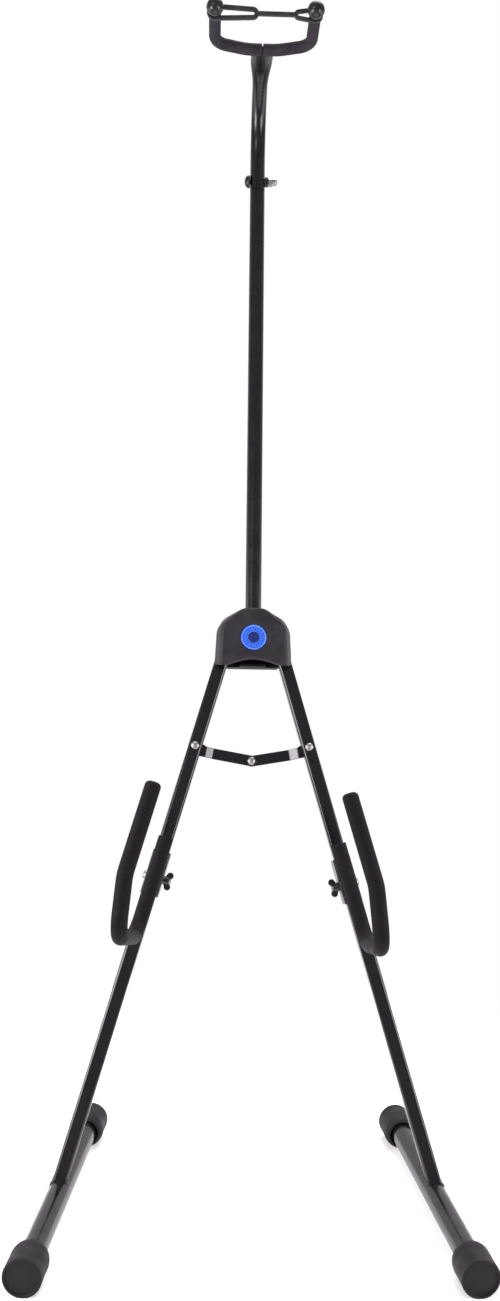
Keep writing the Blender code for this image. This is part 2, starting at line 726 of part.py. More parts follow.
def make_mast(hub, finish, metal):
    """Mast tube between the plates, with its two rivets."""
    top = SEAM_ABOVE_PIVOT - SEAT_GAP / 2
    path = rounded_path([(0.0, 0.0, -MAST_BELOW_PIVOT), (0.0, 0.0, top)], [])
    frames = carried_frames(path, (1.0, 0.0, 0.0))
    outer = MAST_DIAMETER / 2
    mast = place("mast_tube", hollow_tube(frames, outer, outer - MAST_WALL, ROUND_SEGMENTS), hub, finish)
    seat = PLATE_OUTER + SEAT_GAP
    for word, up in (("lower", MAST_RIVET_LOW), ("upper", MAST_RIVET_HIGH)):
        reach = outer + CUT_MARGIN
        hole = cylinder(MAST_RIVET_DIAMETER / 2 + BORE_GAP, -reach, reach, (0.0, 1.0, 0.0))
        tool(mast, shifted(hole, (0.0, 0.0, up)), parent=hub)
        rivet(
            f"mast_rivet_{word}", hub, metal, (0.0, 0.0, up), MAST_RIVET_DIAMETER / 2,
            MAST_RIVET_HEAD_DIAMETER / 2, MAST_RIVET_HEAD_HEIGHT, -seat, seat,
        )
    return mast


def neck_path():
    """The neck's middle line from the seam to the yoke rod's middle, and its end direction."""
    start = Vector((0.0, 0.0, SEAT_GAP / 2))
    bend_start = Vector((0.0, 0.0, NECK_STRAIGHT))
    tangent_length = NECK_BEND_RADIUS * math.tan(NECK_BEND / 2)
    corner = bend_start + Vector((0.0, 0.0, tangent_length))
    heading = Vector((0.0, -math.sin(NECK_BEND), math.cos(NECK_BEND)))
    end = corner + heading * (tangent_length + NECK_END_RUN)
    return [start, corner, end], heading


def flattened_section(blend, inset):
    """Tube section that goes from round at 0 to a flat oval at 1."""
    radius = MAST_DIAMETER / 2
    half_wide = radius + (NECK_END_WIDTH / 2 - radius) * blend - inset
    half_tall = radius + (NECK_END_THICKNESS / 2 - radius) * blend - inset
    power = 1.0 - 0.45 * blend
    section = []
    for x, y in circle_2d((0.0, 0.0), 1.0, ROUND_SEGMENTS):
        wide = math.copysign(abs(x) ** power, x) * half_wide
        tall = math.copysign(abs(y) ** power, y) * half_tall
        section.append((wide, tall))
    return section


def make_neck(seam, finish):
    """Bent neck tube whose front end is flattened onto the yoke rod."""
    corners, heading = neck_path()
    frames = carried_frames(rounded_path(corners, [NECK_BEND_RADIUS], NECK_BEND_STEP), (1.0, 0.0, 0.0))
    outside = []
    inside = []
    for frame in frames:
        share = 1.0 - min(1.0, frame[3].angle(heading) / NECK_FLATTEN_BEND)
        blend = share * share * (3 - 2 * share)
        outside.append(ring(frame, flattened_section(blend, 0.0)))
        inside.append(ring(frame, flattened_section(blend, MAST_WALL)))
    neck = place("neck_tube", skin(outside + inside[::-1], closed=True), seam, finish)
    bolt_hole = cylinder(
        NECK_BOLT_DIAMETER / 2 + BORE_GAP, -MAST_DIAMETER, MAST_DIAMETER, (1.0, 0.0, 0.0)
    )
    tool(neck, shifted(bolt_hole, (0.0, 0.0, NECK_BOLT_ABOVE_SEAM)), parent=seam)
    saddle_radius = YOKE_ROD_DIAMETER / 2 + SEAT_GAP
    saddle = cylinder(saddle_radius, -NECK_END_WIDTH, NECK_END_WIDTH, (1.0, 0.0, 0.0), ROUND_SEGMENTS)
    tool(neck, saddle, location=corners[-1], parent=seam)
    return corners[-1]


def make_spigot(seam, finish):
    """Tube inside the seam that the neck slides over."""
    outer = MAST_DIAMETER / 2 - MAST_WALL - SEAT_GAP
    inner = outer - SPIGOT_WALL
    profile = [
        (inner, -SPIGOT_BELOW_SEAM),
        (outer, -SPIGOT_BELOW_SEAM),
        (outer, SPIGOT_ABOVE_SEAM),
        (inner, SPIGOT_ABOVE_SEAM),
    ]
    spigot = place("neck_spigot", turned_ring(profile, ROUND_SEGMENTS), seam, finish)
    hole = cylinder(NECK_BOLT_DIAMETER / 2 + BORE_GAP, -MAST_DIAMETER, MAST_DIAMETER, (1.0, 0.0, 0.0))
    tool(spigot, shifted(hole, (0.0, 0.0, NECK_BOLT_ABOVE_SEAM)), parent=seam)
    return spigot


def make_neck_bolt(seam, finishes):
    """Cross bolt with a domed head, a saddle washer and a dome nut."""
    up = (0.0, 0.0, NECK_BOLT_ABOVE_SEAM)
    tube = MAST_DIAMETER / 2
    head_seat = -tube - SEAT_GAP
    washer_end = tube + NECK_WASHER_STAND_OFF
    nut_start = washer_end + SEAT_GAP
    bolt_end = nut_start + NECK_NUT_HEX_HEIGHT + 2 * MM
    head = domed_profile(NECK_BOLT_HEAD_DIAMETER / 2, head_seat, NECK_BOLT_HEAD_HEIGHT, rise=-1.0)
    radius = NECK_BOLT_DIAMETER / 2
    profile = head[::-1] + [(radius, head_seat), (radius, bolt_end - radius / 2), (radius / 2, bolt_end)]
    bolt = turn_to(turned(profile, SMALL_SEGMENTS), (1.0, 0.0, 0.0))
    place("neck_bolt", bolt, seam, finishes["nut_black"], up)
    washer_radius = NECK_WASHER_DIAMETER / 2
    bore = radius + BORE_GAP
    saddle_start = tube * 0.7
    ring_profile = [
        (bore, saddle_start),
        (washer_radius, saddle_start),
        (washer_radius, washer_end),
        (bore, washer_end),
    ]
    washer_solid = turn_to(turned_ring(ring_profile, ROUND_SEGMENTS), (1.0, 0.0, 0.0))
    washer = place("neck_washer", washer_solid, seam, finishes["nut_black"], up)
    reach = NECK_WASHER_DIAMETER
    saddle = cylinder(tube + SEAT_GAP, -reach, reach, (0.0, 0.0, 1.0), ROUND_SEGMENTS)
    tool(washer, saddle, location=up, parent=seam)
    nut_axis = guide("neck_nut_axis", seam, (nut_start, 0.0, NECK_BOLT_ABOVE_SEAM))
    make_dome_nut(nut_axis, finishes["zinc"], bolt_end - nut_start)


def hexagon(across_flats, points):
    """A hexagon sampled so that its corners are kept."""
    outline = []
    for i in range(points):
        angle = 2 * math.pi * i / points
        off = (angle + math.pi / 6) % (math.pi / 3) - math.pi / 6
        radius = across_flats / 2 / math.cos(math.pi / 6 - abs(off))
        outline.append((radius * math.cos(angle), radius * math.sin(angle)))
    return outline


def make_dome_nut(axis, finish, bolt_depth):
    """Dome nut: a hexagon that closes over the bolt's end."""
    bore = NECK_BOLT_DIAMETER / 2 + BORE_GAP
    blind = bolt_depth + 2 * SEAT_GAP
    rings = []
    for radius, height in ((bore, blind), (bore, 0.0)):
        rings.append([Vector((x, y, height)) for x, y in circle_2d((0, 0), radius, ROUND_SEGMENTS)])
    for height in (0.0, NECK_NUT_HEX_HEIGHT):
        outline = hexagon(NECK_NUT_ACROSS_FLATS, ROUND_SEGMENTS)
        rings.append([Vector((x, y, height)) for x, y in outline])
    dome_radius = NECK_NUT_ACROSS_FLATS / 2 * 0.94
    dome_height = NECK_NUT_HEIGHT - NECK_NUT_HEX_HEIGHT
    for radius, height in domed_profile(dome_radius, NECK_NUT_HEX_HEIGHT, dome_height):
        rings.append([Vector((x, y, height)) for x, y in circle_2d((0, 0), radius, ROUND_SEGMENTS)])
    place("neck_nut", turn_to(skin(rings), (1.0, 0.0, 0.0)), axis, finish)


# Yoke

def yoke_half_path(side):
    """Middle line of one half of the yoke rod, from the centre to inside the ball."""
    end = -YOKE_REACH - YOKE_ROD_PAST_BALL_CENTRE
    corners = [
        (0.0, 0.0, 0.0),
        (side * YOKE_CENTRE_HALF_FLAT * 1.3, 0.0, 0.0),
        (side * YOKE_HALF_WIDTH, -YOKE_SHOULDER_REACH, 0.0),
        (side * YOKE_HALF_WIDTH, end, 0.0),
    ]
    return corners


def make_yoke(yoke, finishes):
    """Rod, sleeves, balls and strap in the yoke's own plane."""
    left = yoke_half_path(-1)
    right = yoke_half_path(1)
    corners = left[::-1] + right[1:]
    corners = [corner for corner in corners if corner != (0.0, 0.0, 0.0)]
    radii = [YOKE_CORNER_RADIUS, YOKE_SHALLOW_RADIUS, YOKE_SHALLOW_RADIUS, YOKE_CORNER_RADIUS]
    frames = carried_frames(rounded_path(corners, radii), (0.0, 0.0, 1.0))
    rod = round_rings(frames, YOKE_ROD_DIAMETER / 2, ROD_SEGMENTS)
    place("yoke_rod", skin(rod), yoke, finishes["black_enamel"])
    for word, side in (("left", -1), ("right", 1)):
        make_yoke_sleeve(yoke, word, side, finishes["sleeve_rubber"])
        make_yoke_ball(yoke, word, side, finishes["ball_rubber"])
    make_strap(yoke, finishes["strap_rubber"])


def strap_depth():
    """How far forward the strap's middle lies on the arms."""
    return YOKE_REACH - YOKE_BALL_DIAMETER / 2 - STRAP_THICKNESS / 2 + 1.2 * MM


def make_yoke_sleeve(yoke, word, side, finish):
    """Padded sleeve from the notch at the middle to the strap."""
    corners = yoke_half_path(side)
    corners[0] = (side * YOKE_NOTCH_HALF_WIDTH, 0.0, 0.0)
    sleeve_end = strap_depth() - STRAP_THICKNESS / 2 - SEAT_GAP
    corners[-1] = (side * YOKE_HALF_WIDTH, -sleeve_end, 0.0)
    stations = rounded_path(corners, [YOKE_SHALLOW_RADIUS, YOKE_CORNER_RADIUS])
    frames = carried_frames(stations, (0.0, 0.0, 1.0))
    inner = YOKE_ROD_DIAMETER / 2 + BORE_GAP
    solid = hollow_tube(frames, YOKE_SLEEVE_DIAMETER / 2, inner, SLEEVE_SEGMENTS)
    sleeve = place(f"yoke_sleeve_{word}", solid, yoke, finish)
    half_wide = NECK_END_WIDTH / 2 + SEAT_GAP
    half_tall = NECK_END_THICKNESS / 2 + SEAT_GAP
    slot = block((-half_wide, 0.0, -half_tall), (half_wide, YOKE_SLEEVE_DIAMETER, half_tall))
    tilt = Matrix.Rotation(YOKE_TILT_UP, 4, "X")
    bmesh.ops.transform(slot, matrix=tilt, verts=slot.verts)
    tool(sleeve, slot, parent=yoke)


def make_yoke_ball(yoke, word, side, finish):
    """Rubber ball with a blind bore for the rod's end."""
    radius = YOKE_BALL_DIAMETER / 2
    bore = YOKE_ROD_DIAMETER / 2 + BORE_GAP
    blind = YOKE_ROD_PAST_BALL_CENTRE + SEAT_GAP
    mouth = math.sqrt(radius ** 2 - (bore + 0.8 * MM) ** 2)
    profile = [(bore, blind), (bore, -mouth)]
    start = -math.asin(mouth / radius)
    steps = 8
    for k in range(steps + 1):
        angle = start + (math.radians(82) - start) * k / steps
        profile.append((radius * math.cos(angle), radius * math.sin(angle)))
    solid = turn_to(turned(profile, ROUND_SEGMENTS), (0.0, -1.0, 0.0))
    place(f"yoke_ball_{word}", solid, yoke, finish, (side * YOKE_HALF_WIDTH, -YOKE_REACH, 0.0))


def strap_end(x, length, height, direction, grow):
    """Outline round a slot that starts at a rod and runs inward, grown by a strand."""
    rod = YOKE_ROD_DIAMETER / 2 + BORE_GAP
    far = x + direction * (length - height / 2)
    return hull_of_circles([(x, 0.0, rod + grow), (far, 0.0, height / 2 + grow)], SMALL_SEGMENTS)


def make_strap(yoke, finish):
    """Rubber strap: a long slot at the left, one strand and a small eye at the right."""
    left = -YOKE_HALF_WIDTH
    right = YOKE_HALF_WIDTH
    spot = (0.0, -strap_depth(), 0.0)
    outline = strap_end(left, STRAP_SLOT_LENGTH, STRAP_SLOT_HEIGHT, 1, STRAP_STRAND)
    slot = strap_end(left, STRAP_SLOT_LENGTH, STRAP_SLOT_HEIGHT, 1, 0.0)
    strap = place("retaining_strap", sheet(outline, [slot], STRAP_THICKNESS), yoke, finish, spot)
    outline = strap_end(right, STRAP_EYE_LENGTH, STRAP_EYE_HEIGHT, -1, STRAP_STRAND * 0.9)
    eye = strap_end(right, STRAP_EYE_LENGTH, STRAP_EYE_HEIGHT, -1, 0.0)
    tool(strap, sheet(outline, [eye], STRAP_THICKNESS), "UNION", spot, yoke)
    overlap = STRAP_STRAND / 2
    low = left + STRAP_SLOT_LENGTH + overlap
    high = right - STRAP_EYE_LENGTH - overlap
    half = STRAP_STRAND / 2
    flat = STRAP_THICKNESS / 2
    tool(strap, block((low, -flat, -half), (high, flat, half)), "UNION", spot, yoke)


# Legs and feet

def make_leg(word, side, leg_axis, finishes):
    """Square leg tube, coped onto the foot tube, with its pivot and brace holes."""
    section = rounded_square(LEG_WIDTH, LEG_CORNER)
    bore = rounded_square(LEG_WIDTH - 2 * LEG_WALL, LEG_CORNER - LEG_WALL)
    low = -LEG_LENGTH - FOOT_TUBE_DIAMETER / 3
    rings = []
    for shape, levels in ((section, (low, LEG_TOP_OVERHANG)), (bore, (LEG_TOP_OVERHANG, low))):
        for height in levels:
            rings.append([Vector((x, y, height)) for x, y in shape])
    leg = place(f"{word}_leg", skin(rings, closed=True), leg_axis, finishes["black_enamel"])
    half = LEG_WIDTH / 2 + CUT_MARGIN
    pin_hole = cylinder(PIVOT_PIN_DIAMETER / 2 + BORE_GAP, -half, half, (0.0, 1.0, 0.0))
    tool(leg, pin_hole, parent=leg_axis)
    rivet_hole = cylinder(BRACE_RIVET_DIAMETER / 2 + BORE_GAP, -half, half, (0.0, 1.0, 0.0))
    tool(leg, rivet_hole, location=(0.0, 0.0, -BRACE_RIVET_DISTANCE), parent=leg_axis)
    return leg


def cap_profile():
    """Outline of a foot cap from the bottom of its bore round to its end face."""
    bore = FOOT_TUBE_DIAMETER / 2 + BORE_GAP
    radius = CAP_DIAMETER / 2
    mouth = CAP_MOUTH_DIAMETER / 2
    depth = CAP_LENGTH - CAP_END_WALL
    profile = [(bore, depth), (bore, 0.0)]
    for degrees in (0, 30, 60, 90):
        angle = math.radians(degrees)
        across = mouth + (radius - mouth) * math.sin(angle)
        along = CAP_SHOULDER_LENGTH * (1 - math.cos(angle))
        profile.append((across, along))
    profile.append((radius, CAP_LENGTH - CAP_END_ROUND))
    profile.append((radius - CAP_END_ROUND * 0.3, CAP_LENGTH - CAP_END_ROUND * 0.3))
    profile.append((radius - CAP_END_ROUND, CAP_LENGTH))
    return profile


def make_foot(word, side, leg, leg_axis, finishes):
    """Foot tube across the leg's end with a rubber cap on each end."""
    bpy.context.view_layer.update()
    foot = guide(f"{word}_foot_axis", leg_axis)
    foot.matrix_parent_inverse = leg_axis.matrix_world.inverted()
    foot.location = (side * FOOT_HALF_SPACING, 0.0, CAP_AXIS_HEIGHT)
    foot.rotation_euler = (0.0, 0.0, side * TOE_OUT)
    outer = FOOT_TUBE_DIAMETER / 2
    front = -FOOT_FRONT_REACH + CAP_END_WALL + SEAT_GAP
    rear = FOOT_REAR_REACH - CAP_END_WALL - SEAT_GAP
    frames = carried_frames(rounded_path([(0.0, front, 0.0), (0.0, rear, 0.0)], []), (1.0, 0.0, 0.0))
    tube = hollow_tube(frames, outer, outer - FOOT_TUBE_WALL, ROUND_SEGMENTS)
    place(f"{word}_foot_tube", tube, foot, finishes["black_enamel"])
    cope = cylinder(outer + SEAT_GAP, -2 * LEG_WIDTH, 2 * LEG_WIDTH, (0.0, 1.0, 0.0), ROUND_SEGMENTS)
    tool(leg, cope, parent=foot)
    ends = (("front", -1, FOOT_FRONT_REACH), ("rear", 1, FOOT_REAR_REACH))
    for end_word, direction, reach in ends:
        solid = turn_to(turned(cap_profile(), CAP_SEGMENTS), (0.0, direction, 0.0))
        spot = (0.0, direction * (reach - CAP_LENGTH), 0.0)
        cap = place(f"{word}_{end_word}_cap", solid, foot, finishes["cap_rubber"], spot)
        radius = CAP_DIAMETER / 2
        reach = 2 * CAP_LENGTH
        below = -CAP_AXIS_HEIGHT - CUT_MARGIN
        floor = block((-radius, -reach, below), (radius, reach, -CAP_AXIS_HEIGHT))
        tool(cap, floor, location=spot, parent=foot)


# Brace

def link_section_path(layer):
    """Side view of a link: flat at the leg, stepped back, flat to the centre."""
    flat = LEG_WIDTH / 2 + SEAT_GAP + LINK_THICKNESS / 2
    back = flat + LINK_JOGGLE_DEPTH + layer
    return [
        (-LINK_WIDTH, flat),
        (LINK_JOGGLE_START, flat),
        (LINK_JOGGLE_START + LINK_JOGGLE_LENGTH, back),
        (LINK_REACH + LINK_WIDTH, back),
    ]


def make_link(word, side, leg_axis, finishes):
    """One half of the brace: a stepped strip whose leg end turns up to its rivet."""
    spot = (0.0, 0.0, -BRACE_RIVET_DISTANCE)
    axis = guide(f"{word}_link_axis", leg_axis, spot, (0.0, side * (LEG_SPREAD - LINK_DROOP), 0.0))
    layer = 0.0 if side < 0 else LINK_THICKNESS + SEAT_GAP
    half = LINK_THICKNESS / 2
    radius = LINK_WIDTH / 2
    path = link_section_path(layer)
    outline = [(x, y - half) for x, y in path] + [(x, y + half) for x, y in path[::-1]]
    rings = []
    for z in (-LINK_EYE_RISE - LINK_WIDTH, LINK_WIDTH):
        rings.append([Vector((-side * x, y, z)) for x, y in outline])
    link = place(f"{word}_brace_link", skin(rings), axis, finishes["black_enamel"])
    far_eye = (-side * LINK_REACH, -LINK_EYE_RISE, radius)
    strip = hull_of_circles([(0.0, -LINK_EYE_RISE, radius), far_eye], SMALL_SEGMENTS)
    trim = shifted(sheet(strip, [], 4 * LEG_WIDTH), (0.0, LEG_WIDTH, 0.0))
    tool(link, trim, "INTERSECT", parent=axis)
    eye = hull_of_circles([(0.0, -LINK_EYE_RISE, radius), (0.0, 0.0, radius)], SMALL_SEGMENTS)
    tool(link, shifted(sheet(eye, [], LINK_THICKNESS), (0.0, path[0][1], 0.0)), "UNION", parent=axis)
    for x, z in ((0.0, 0.0), far_eye[:2]):
        hole = cylinder(BRACE_RIVET_DIAMETER / 2 + BORE_GAP, 0.0, 3 * LEG_WIDTH, (0.0, 1.0, 0.0))
        tool(link, hole, location=(x, 0.0, z), parent=axis)
    make_centre_rivet_half(axis, side, path[-1][1], finishes["zinc"])
    return axis


def make_centre_rivet_half(axis, side, layer_middle, finish):
    """Each link keeps its half of the centre rivet: the head in front, the tail behind."""
    half = LINK_THICKNESS / 2
    direction = -1.0 if side < 0 else 1.0
    seat = layer_middle + direction * (half + SEAT_GAP)
    inner_end = layer_middle - direction * (half - SEAT_GAP)
    radius = BRACE_RIVET_DIAMETER / 2
    dome = domed_profile(BRACE_HEAD_DIAMETER / 2, 0.0, BRACE_HEAD_HEIGHT)
    profile = [(radius, -abs(seat - inner_end)), (radius, 0.0)] + dome
    solid = turn_to(turned(profile, SMALL_SEGMENTS), (0.0, direction, 0.0))
    word = "head" if side < 0 else "tail"
    spot = (-side * LINK_REACH, seat, -LINK_EYE_RISE)
    place(f"brace_centre_rivet_{word}", solid, axis, finish, spot)


def make_brace_rivet(word, leg_axis, finish):
    """Rivet through the leg and the link's flat end."""
    near = -LEG_WIDTH / 2 - SEAT_GAP
    far = LEG_WIDTH / 2 + 2 * SEAT_GAP + LINK_THICKNESS
    rivet(
        f"{word}_brace_rivet", leg_axis, finish, (0.0, 0.0, -BRACE_RIVET_DISTANCE),
        BRACE_RIVET_DIAMETER / 2, BRACE_HEAD_DIAMETER / 2, BRACE_HEAD_HEIGHT, near, far,
    )


# Side arms

def bracket_section():
    """Section of the bracket: a channel round the leg with a rib towards the arm rod."""
    outer = BRACKET_OUTER
    inner = BRACKET_INNER
    rear = CLAMP_BOLT_DEPTH + ARM_FLANGE_BEHIND_BOLT
    rib = ARM_RIB_WIDTH / 2
    rib_front = -(ARM_ROD_DEPTH - ARM_ROD_DIAMETER / 2 - SEAT_GAP)
    right = [
        (rib, rib_front, 0.0),
        (rib, -outer, 0.0),
        (outer, -outer),
        (outer, rear, 0.0),
        (inner, rear, 0.0),
        (inner, -inner, LEG_CORNER * 0.5),
    ]
    left = [(-point[0], *point[1:]) for point in right[::-1]]
    return rounded_outline(right + left, ARM_BRACKET_CORNER, 3)


def arm_path(side, swing):
    """Middle line of the arm rod: down the leg, forward, then up as the prong."""
    top = (0.0, -ARM_ROD_DEPTH, ARM_SLEEVE_ABOVE)
    low = (0.0, -ARM_ROD_DEPTH, -ARM_BOTTOM_BELOW)
    across = side * ARM_REACH * math.sin(swing)
    front = -ARM_ROD_DEPTH - ARM_REACH * math.cos(swing)
    toe = (across, front, -ARM_BOTTOM_BELOW)
    knee_across = across + side * ARM_PRONG_LOWER * math.tan(ARM_PRONG_LEAN)
    knee = (knee_across, front, -ARM_BOTTOM_BELOW + ARM_PRONG_LOWER)
    tip = (knee_across, front, -ARM_BOTTOM_BELOW + ARM_PRONG_HEIGHT)
    return rounded_path([top, low, toe, knee, tip], [ARM_BEND_RADIUS, ARM_BEND_RADIUS, ARM_PRONG_RADIUS])


def make_arm(word, side, leg_axis, finishes):
    """Padded arm on its bracket, clamped to the leg by a bolt and a wing nut."""
    station, swing = LEFT_ARM_STATION, LEFT_ARM_SWING
    if side > 0:
        station, swing = RIGHT_ARM_STATION, RIGHT_ARM_SWING
    arm = guide(f"{word}_arm_slide", leg_axis, (0.0, 0.0, -station))
    half_length = ARM_BRACKET_LENGTH / 2
    rings = []
    for z in (-half_length, half_length):
        rings.append([Vector((x, y, z)) for x, y in bracket_section()])
    bracket = place(f"{word}_arm_bracket", skin(rings), arm, finishes["black_enamel"])
    rear = CLAMP_BOLT_DEPTH + ARM_FLANGE_BEHIND_BOLT
    front = -ARM_ROD_DEPTH
    profile = rounded_outline(
        [
            (front, -half_length - CUT_MARGIN, 0.0),
            (-BRACKET_INNER, -half_length - CUT_MARGIN, 0.0),
            (-BRACKET_INNER, -half_length, 0.0),
            (rear, -half_length),
            (rear, half_length),
            (-BRACKET_INNER, half_length, 0.0),
            (-BRACKET_INNER, half_length + CUT_MARGIN, 0.0),
            (front, half_length + CUT_MARGIN, 0.0),
        ],
        ARM_FLANGE_CORNER,
        4,
    )
    rings = []
    for x in (-LEG_WIDTH, LEG_WIDTH):
        rings.append([Vector((x, y, z)) for y, z in profile])
    tool(bracket, skin(rings), "INTERSECT", parent=arm)
    bolt_place = (0.0, CLAMP_BOLT_DEPTH, -CLAMP_BOLT_BELOW)
    hole = cylinder(CLAMP_BOLT_DIAMETER / 2 + BORE_GAP, -LEG_WIDTH, LEG_WIDTH, (1.0, 0.0, 0.0))
    tool(bracket, hole, location=bolt_place, parent=arm)
    make_arm_rod(word, arm, arm_path(side, swing), finishes)
    make_clamp(word, side, arm, bolt_place, finishes)
    return arm


def make_arm_rod(word, arm, stations, finishes):
    """Bent rod and the sleeve that covers it to a round tip."""
    frames = carried_frames(stations, (1.0, 0.0, 0.0))
    rod = round_rings(frames, ARM_ROD_DIAMETER / 2, ROD_SEGMENTS)
    place(f"{word}_arm_rod", skin(rod), arm, finishes["black_enamel"])
    bore = ARM_ROD_DIAMETER / 2 + BORE_GAP
    radius = ARM_SLEEVE_DIAMETER / 2
    point, across, up, tangent = frames[-1]
    blind = (point + tangent * SEAT_GAP, across, up, tangent)
    rings = round_rings([blind] + frames[:-1][::-1], bore, SLEEVE_SEGMENTS)
    rings += round_rings(frames, radius, SLEEVE_SEGMENTS)
    for reach, height in domed_profile(radius, 0.0, ARM_TIP_HEIGHT)[1:]:
        rings += round_rings([(point + tangent * height, across, up, tangent)], reach, SLEEVE_SEGMENTS)
    sleeve = place(f"{word}_arm_sleeve", skin(rings), arm, finishes["sleeve_rubber"])
    half_length = ARM_BRACKET_LENGTH / 2 + SEAT_GAP
    half_width = ARM_RIB_WIDTH / 2 + SEAT_GAP
    slot = block((-half_width, -ARM_ROD_DEPTH, -half_length), (half_width, 0.0, half_length))
    tool(sleeve, slot, parent=arm)


def make_clamp(word, side, arm, spot, finishes):
    """Clamp bolt behind the leg, with its head outside and the wing nut inside."""
    inward = -side
    radius = CLAMP_BOLT_DIAMETER / 2
    seat = BRACKET_OUTER + SEAT_GAP
    end = seat + WING_NUT_HEIGHT + 2.5 * MM
    head = domed_profile(CLAMP_HEAD_DIAMETER / 2, -seat, CLAMP_HEAD_HEIGHT, rise=-1.0)
    profile = head[::-1] + [(radius, -seat), (radius, end - radius / 3), (radius * 0.7, end)]
    bolt = turn_to(turned(profile, SMALL_SEGMENTS), (inward, 0.0, 0.0))
    place(f"{word}_clamp_bolt", bolt, arm, finishes["zinc"], spot)
    nut_axis = guide(f"{word}_wing_nut_axis", arm, (inward * seat, spot[1], spot[2]))
    bore = radius + BORE_GAP
    hub = WING_NUT_DIAMETER / 2
    wings = []
    for z_side in (-1, 1):
        tip = WING_SPAN / 2 - WING_THICKNESS
        wings.append(
            hull_of_circles(
                [
                    (z_side * hub * 0.6, WING_THICKNESS, WING_THICKNESS - SEAT_GAP),
                    (z_side * tip, WING_LENGTH - WING_THICKNESS, WING_THICKNESS),
                ],
                SMALL_SEGMENTS,
            )
        )
    core = turned([(hub, 0.0), (hub * 0.82, WING_NUT_HEIGHT)], SMALL_SEGMENTS)
    nut = place(f"{word}_wing_nut", turn_to(core, (inward, 0.0, 0.0)), nut_axis, finishes["nut_black"])
    half = WING_THICKNESS / 2
    for outline in wings:
        rings = []
        for y in (-half, half):
            rings.append([Vector((inward * along, y, across)) for across, along in outline])
        tool(nut, skin(rings), "UNION", parent=nut_axis)
    hole = cylinder(bore, -CUT_MARGIN, 2 * WING_LENGTH, (inward, 0.0, 0.0))
    tool(nut, hole, parent=nut_axis)


# The whole stand

def centre_over_base(stand):
    """Slide the stand along Y so that its box is centred on the origin."""
    bpy.context.view_layer.update()
    graph = bpy.context.evaluated_depsgraph_get()
    lows = []
    highs = []
    for item in bpy.data.objects:
        if item.type == "MESH" and not item.hide_render:
            seen = item.evaluated_get(graph)
            depths = [(item.matrix_world @ Vector(corner)).y for corner in seen.bound_box]
            mesh = seen.to_mesh()
            depths = [(item.matrix_world @ vertex.co).y for vertex in mesh.vertices]
            seen.to_mesh_clear()
            lows.append(min(depths))
            highs.append(max(depths))
    stand.location.y -= (min(lows) + max(highs)) / 2


def main():
    """Clear the scene and build the stand."""
    for item in list(bpy.data.objects):
        bpy.data.objects.remove(item, do_unlink=True)
    finishes = make_materials()
    stand = guide("stand", None)
    plane = guide("leg_plane", stand, (0.0, 0.0, LEG_BASE_HEIGHT), (-BACKWARD_LEAN, 0.0, 0.0))
    hub = guide("hub", plane, (0.0, 0.0, PIVOT_HEIGHT))
    make_front_shell(hub, finishes["moulded_black"])
    make_rear_shell(hub, finishes["moulded_black"])
    make_badge(hub, finishes["badge_blue"])
    make_hub_screws(hub, finishes["plain_steel"])
    make_pivot_plates(hub, finishes["plain_steel"])
    make_pivots(hub, finishes["plain_steel"])
    make_mast(hub, finishes["black_enamel"], finishes["zinc"])
    seam = guide("neck_seam", hub, (0.0, 0.0, SEAM_ABOVE_PIVOT))
    make_spigot(seam, finishes["plain_steel"])
    yoke_spot = make_neck(seam, finishes["black_enamel"])
    make_neck_bolt(seam, finishes)
    yoke = guide("yoke", seam, yoke_spot, (BACKWARD_LEAN - YOKE_TILT_UP, 0.0, 0.0))
    make_yoke(yoke, finishes)
    for word, side in (("left", -1), ("right", 1)):
        pivot = (side * PIVOT_HALF_SPACING, 0.0, 0.0)
        leg_axis = guide(f"{word}_leg_axis", hub, pivot, (0.0, -side * LEG_SPREAD, 0.0))
        leg = make_leg(word, side, leg_axis, finishes)
        make_foot(word, side, leg, leg_axis, finishes)
        make_brace_rivet(word, leg_axis, finishes["zinc"])
        make_link(word, side, leg_axis, finishes)
        make_arm(word, side, leg_axis, finishes)
    centre_over_base(stand)


main()
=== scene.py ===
"""Looks of a folding cello stand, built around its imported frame.

Units are metres. +Z is up and the stand faces -Y. Each piece is made in the frame of
what carries it (the housing, a leg, the seam of the neck or the yoke) and then put in place.
"""
import json
import math

import bmesh
import bpy
from bpy.props import FloatProperty, FloatVectorProperty, IntProperty, PointerProperty
from bpy.types import Operator, Panel, PropertyGroup
from mathutils import Matrix, Vector


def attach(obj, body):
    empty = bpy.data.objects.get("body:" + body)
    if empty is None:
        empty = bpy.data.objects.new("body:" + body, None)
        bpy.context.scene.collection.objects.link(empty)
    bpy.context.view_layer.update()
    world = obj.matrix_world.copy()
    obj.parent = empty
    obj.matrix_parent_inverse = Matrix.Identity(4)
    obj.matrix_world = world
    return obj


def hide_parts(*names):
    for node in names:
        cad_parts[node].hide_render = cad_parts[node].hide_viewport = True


bl_info = {
    "name": "Cello Stand Pieces",
    "version": (1, 0, 0),
    "blender": (4, 5, 0),
    "location": "View3D > Sidebar > Cello Stand",
    "description": "Builds the visible pieces of a folding cello stand",
    "category": "Object",
}

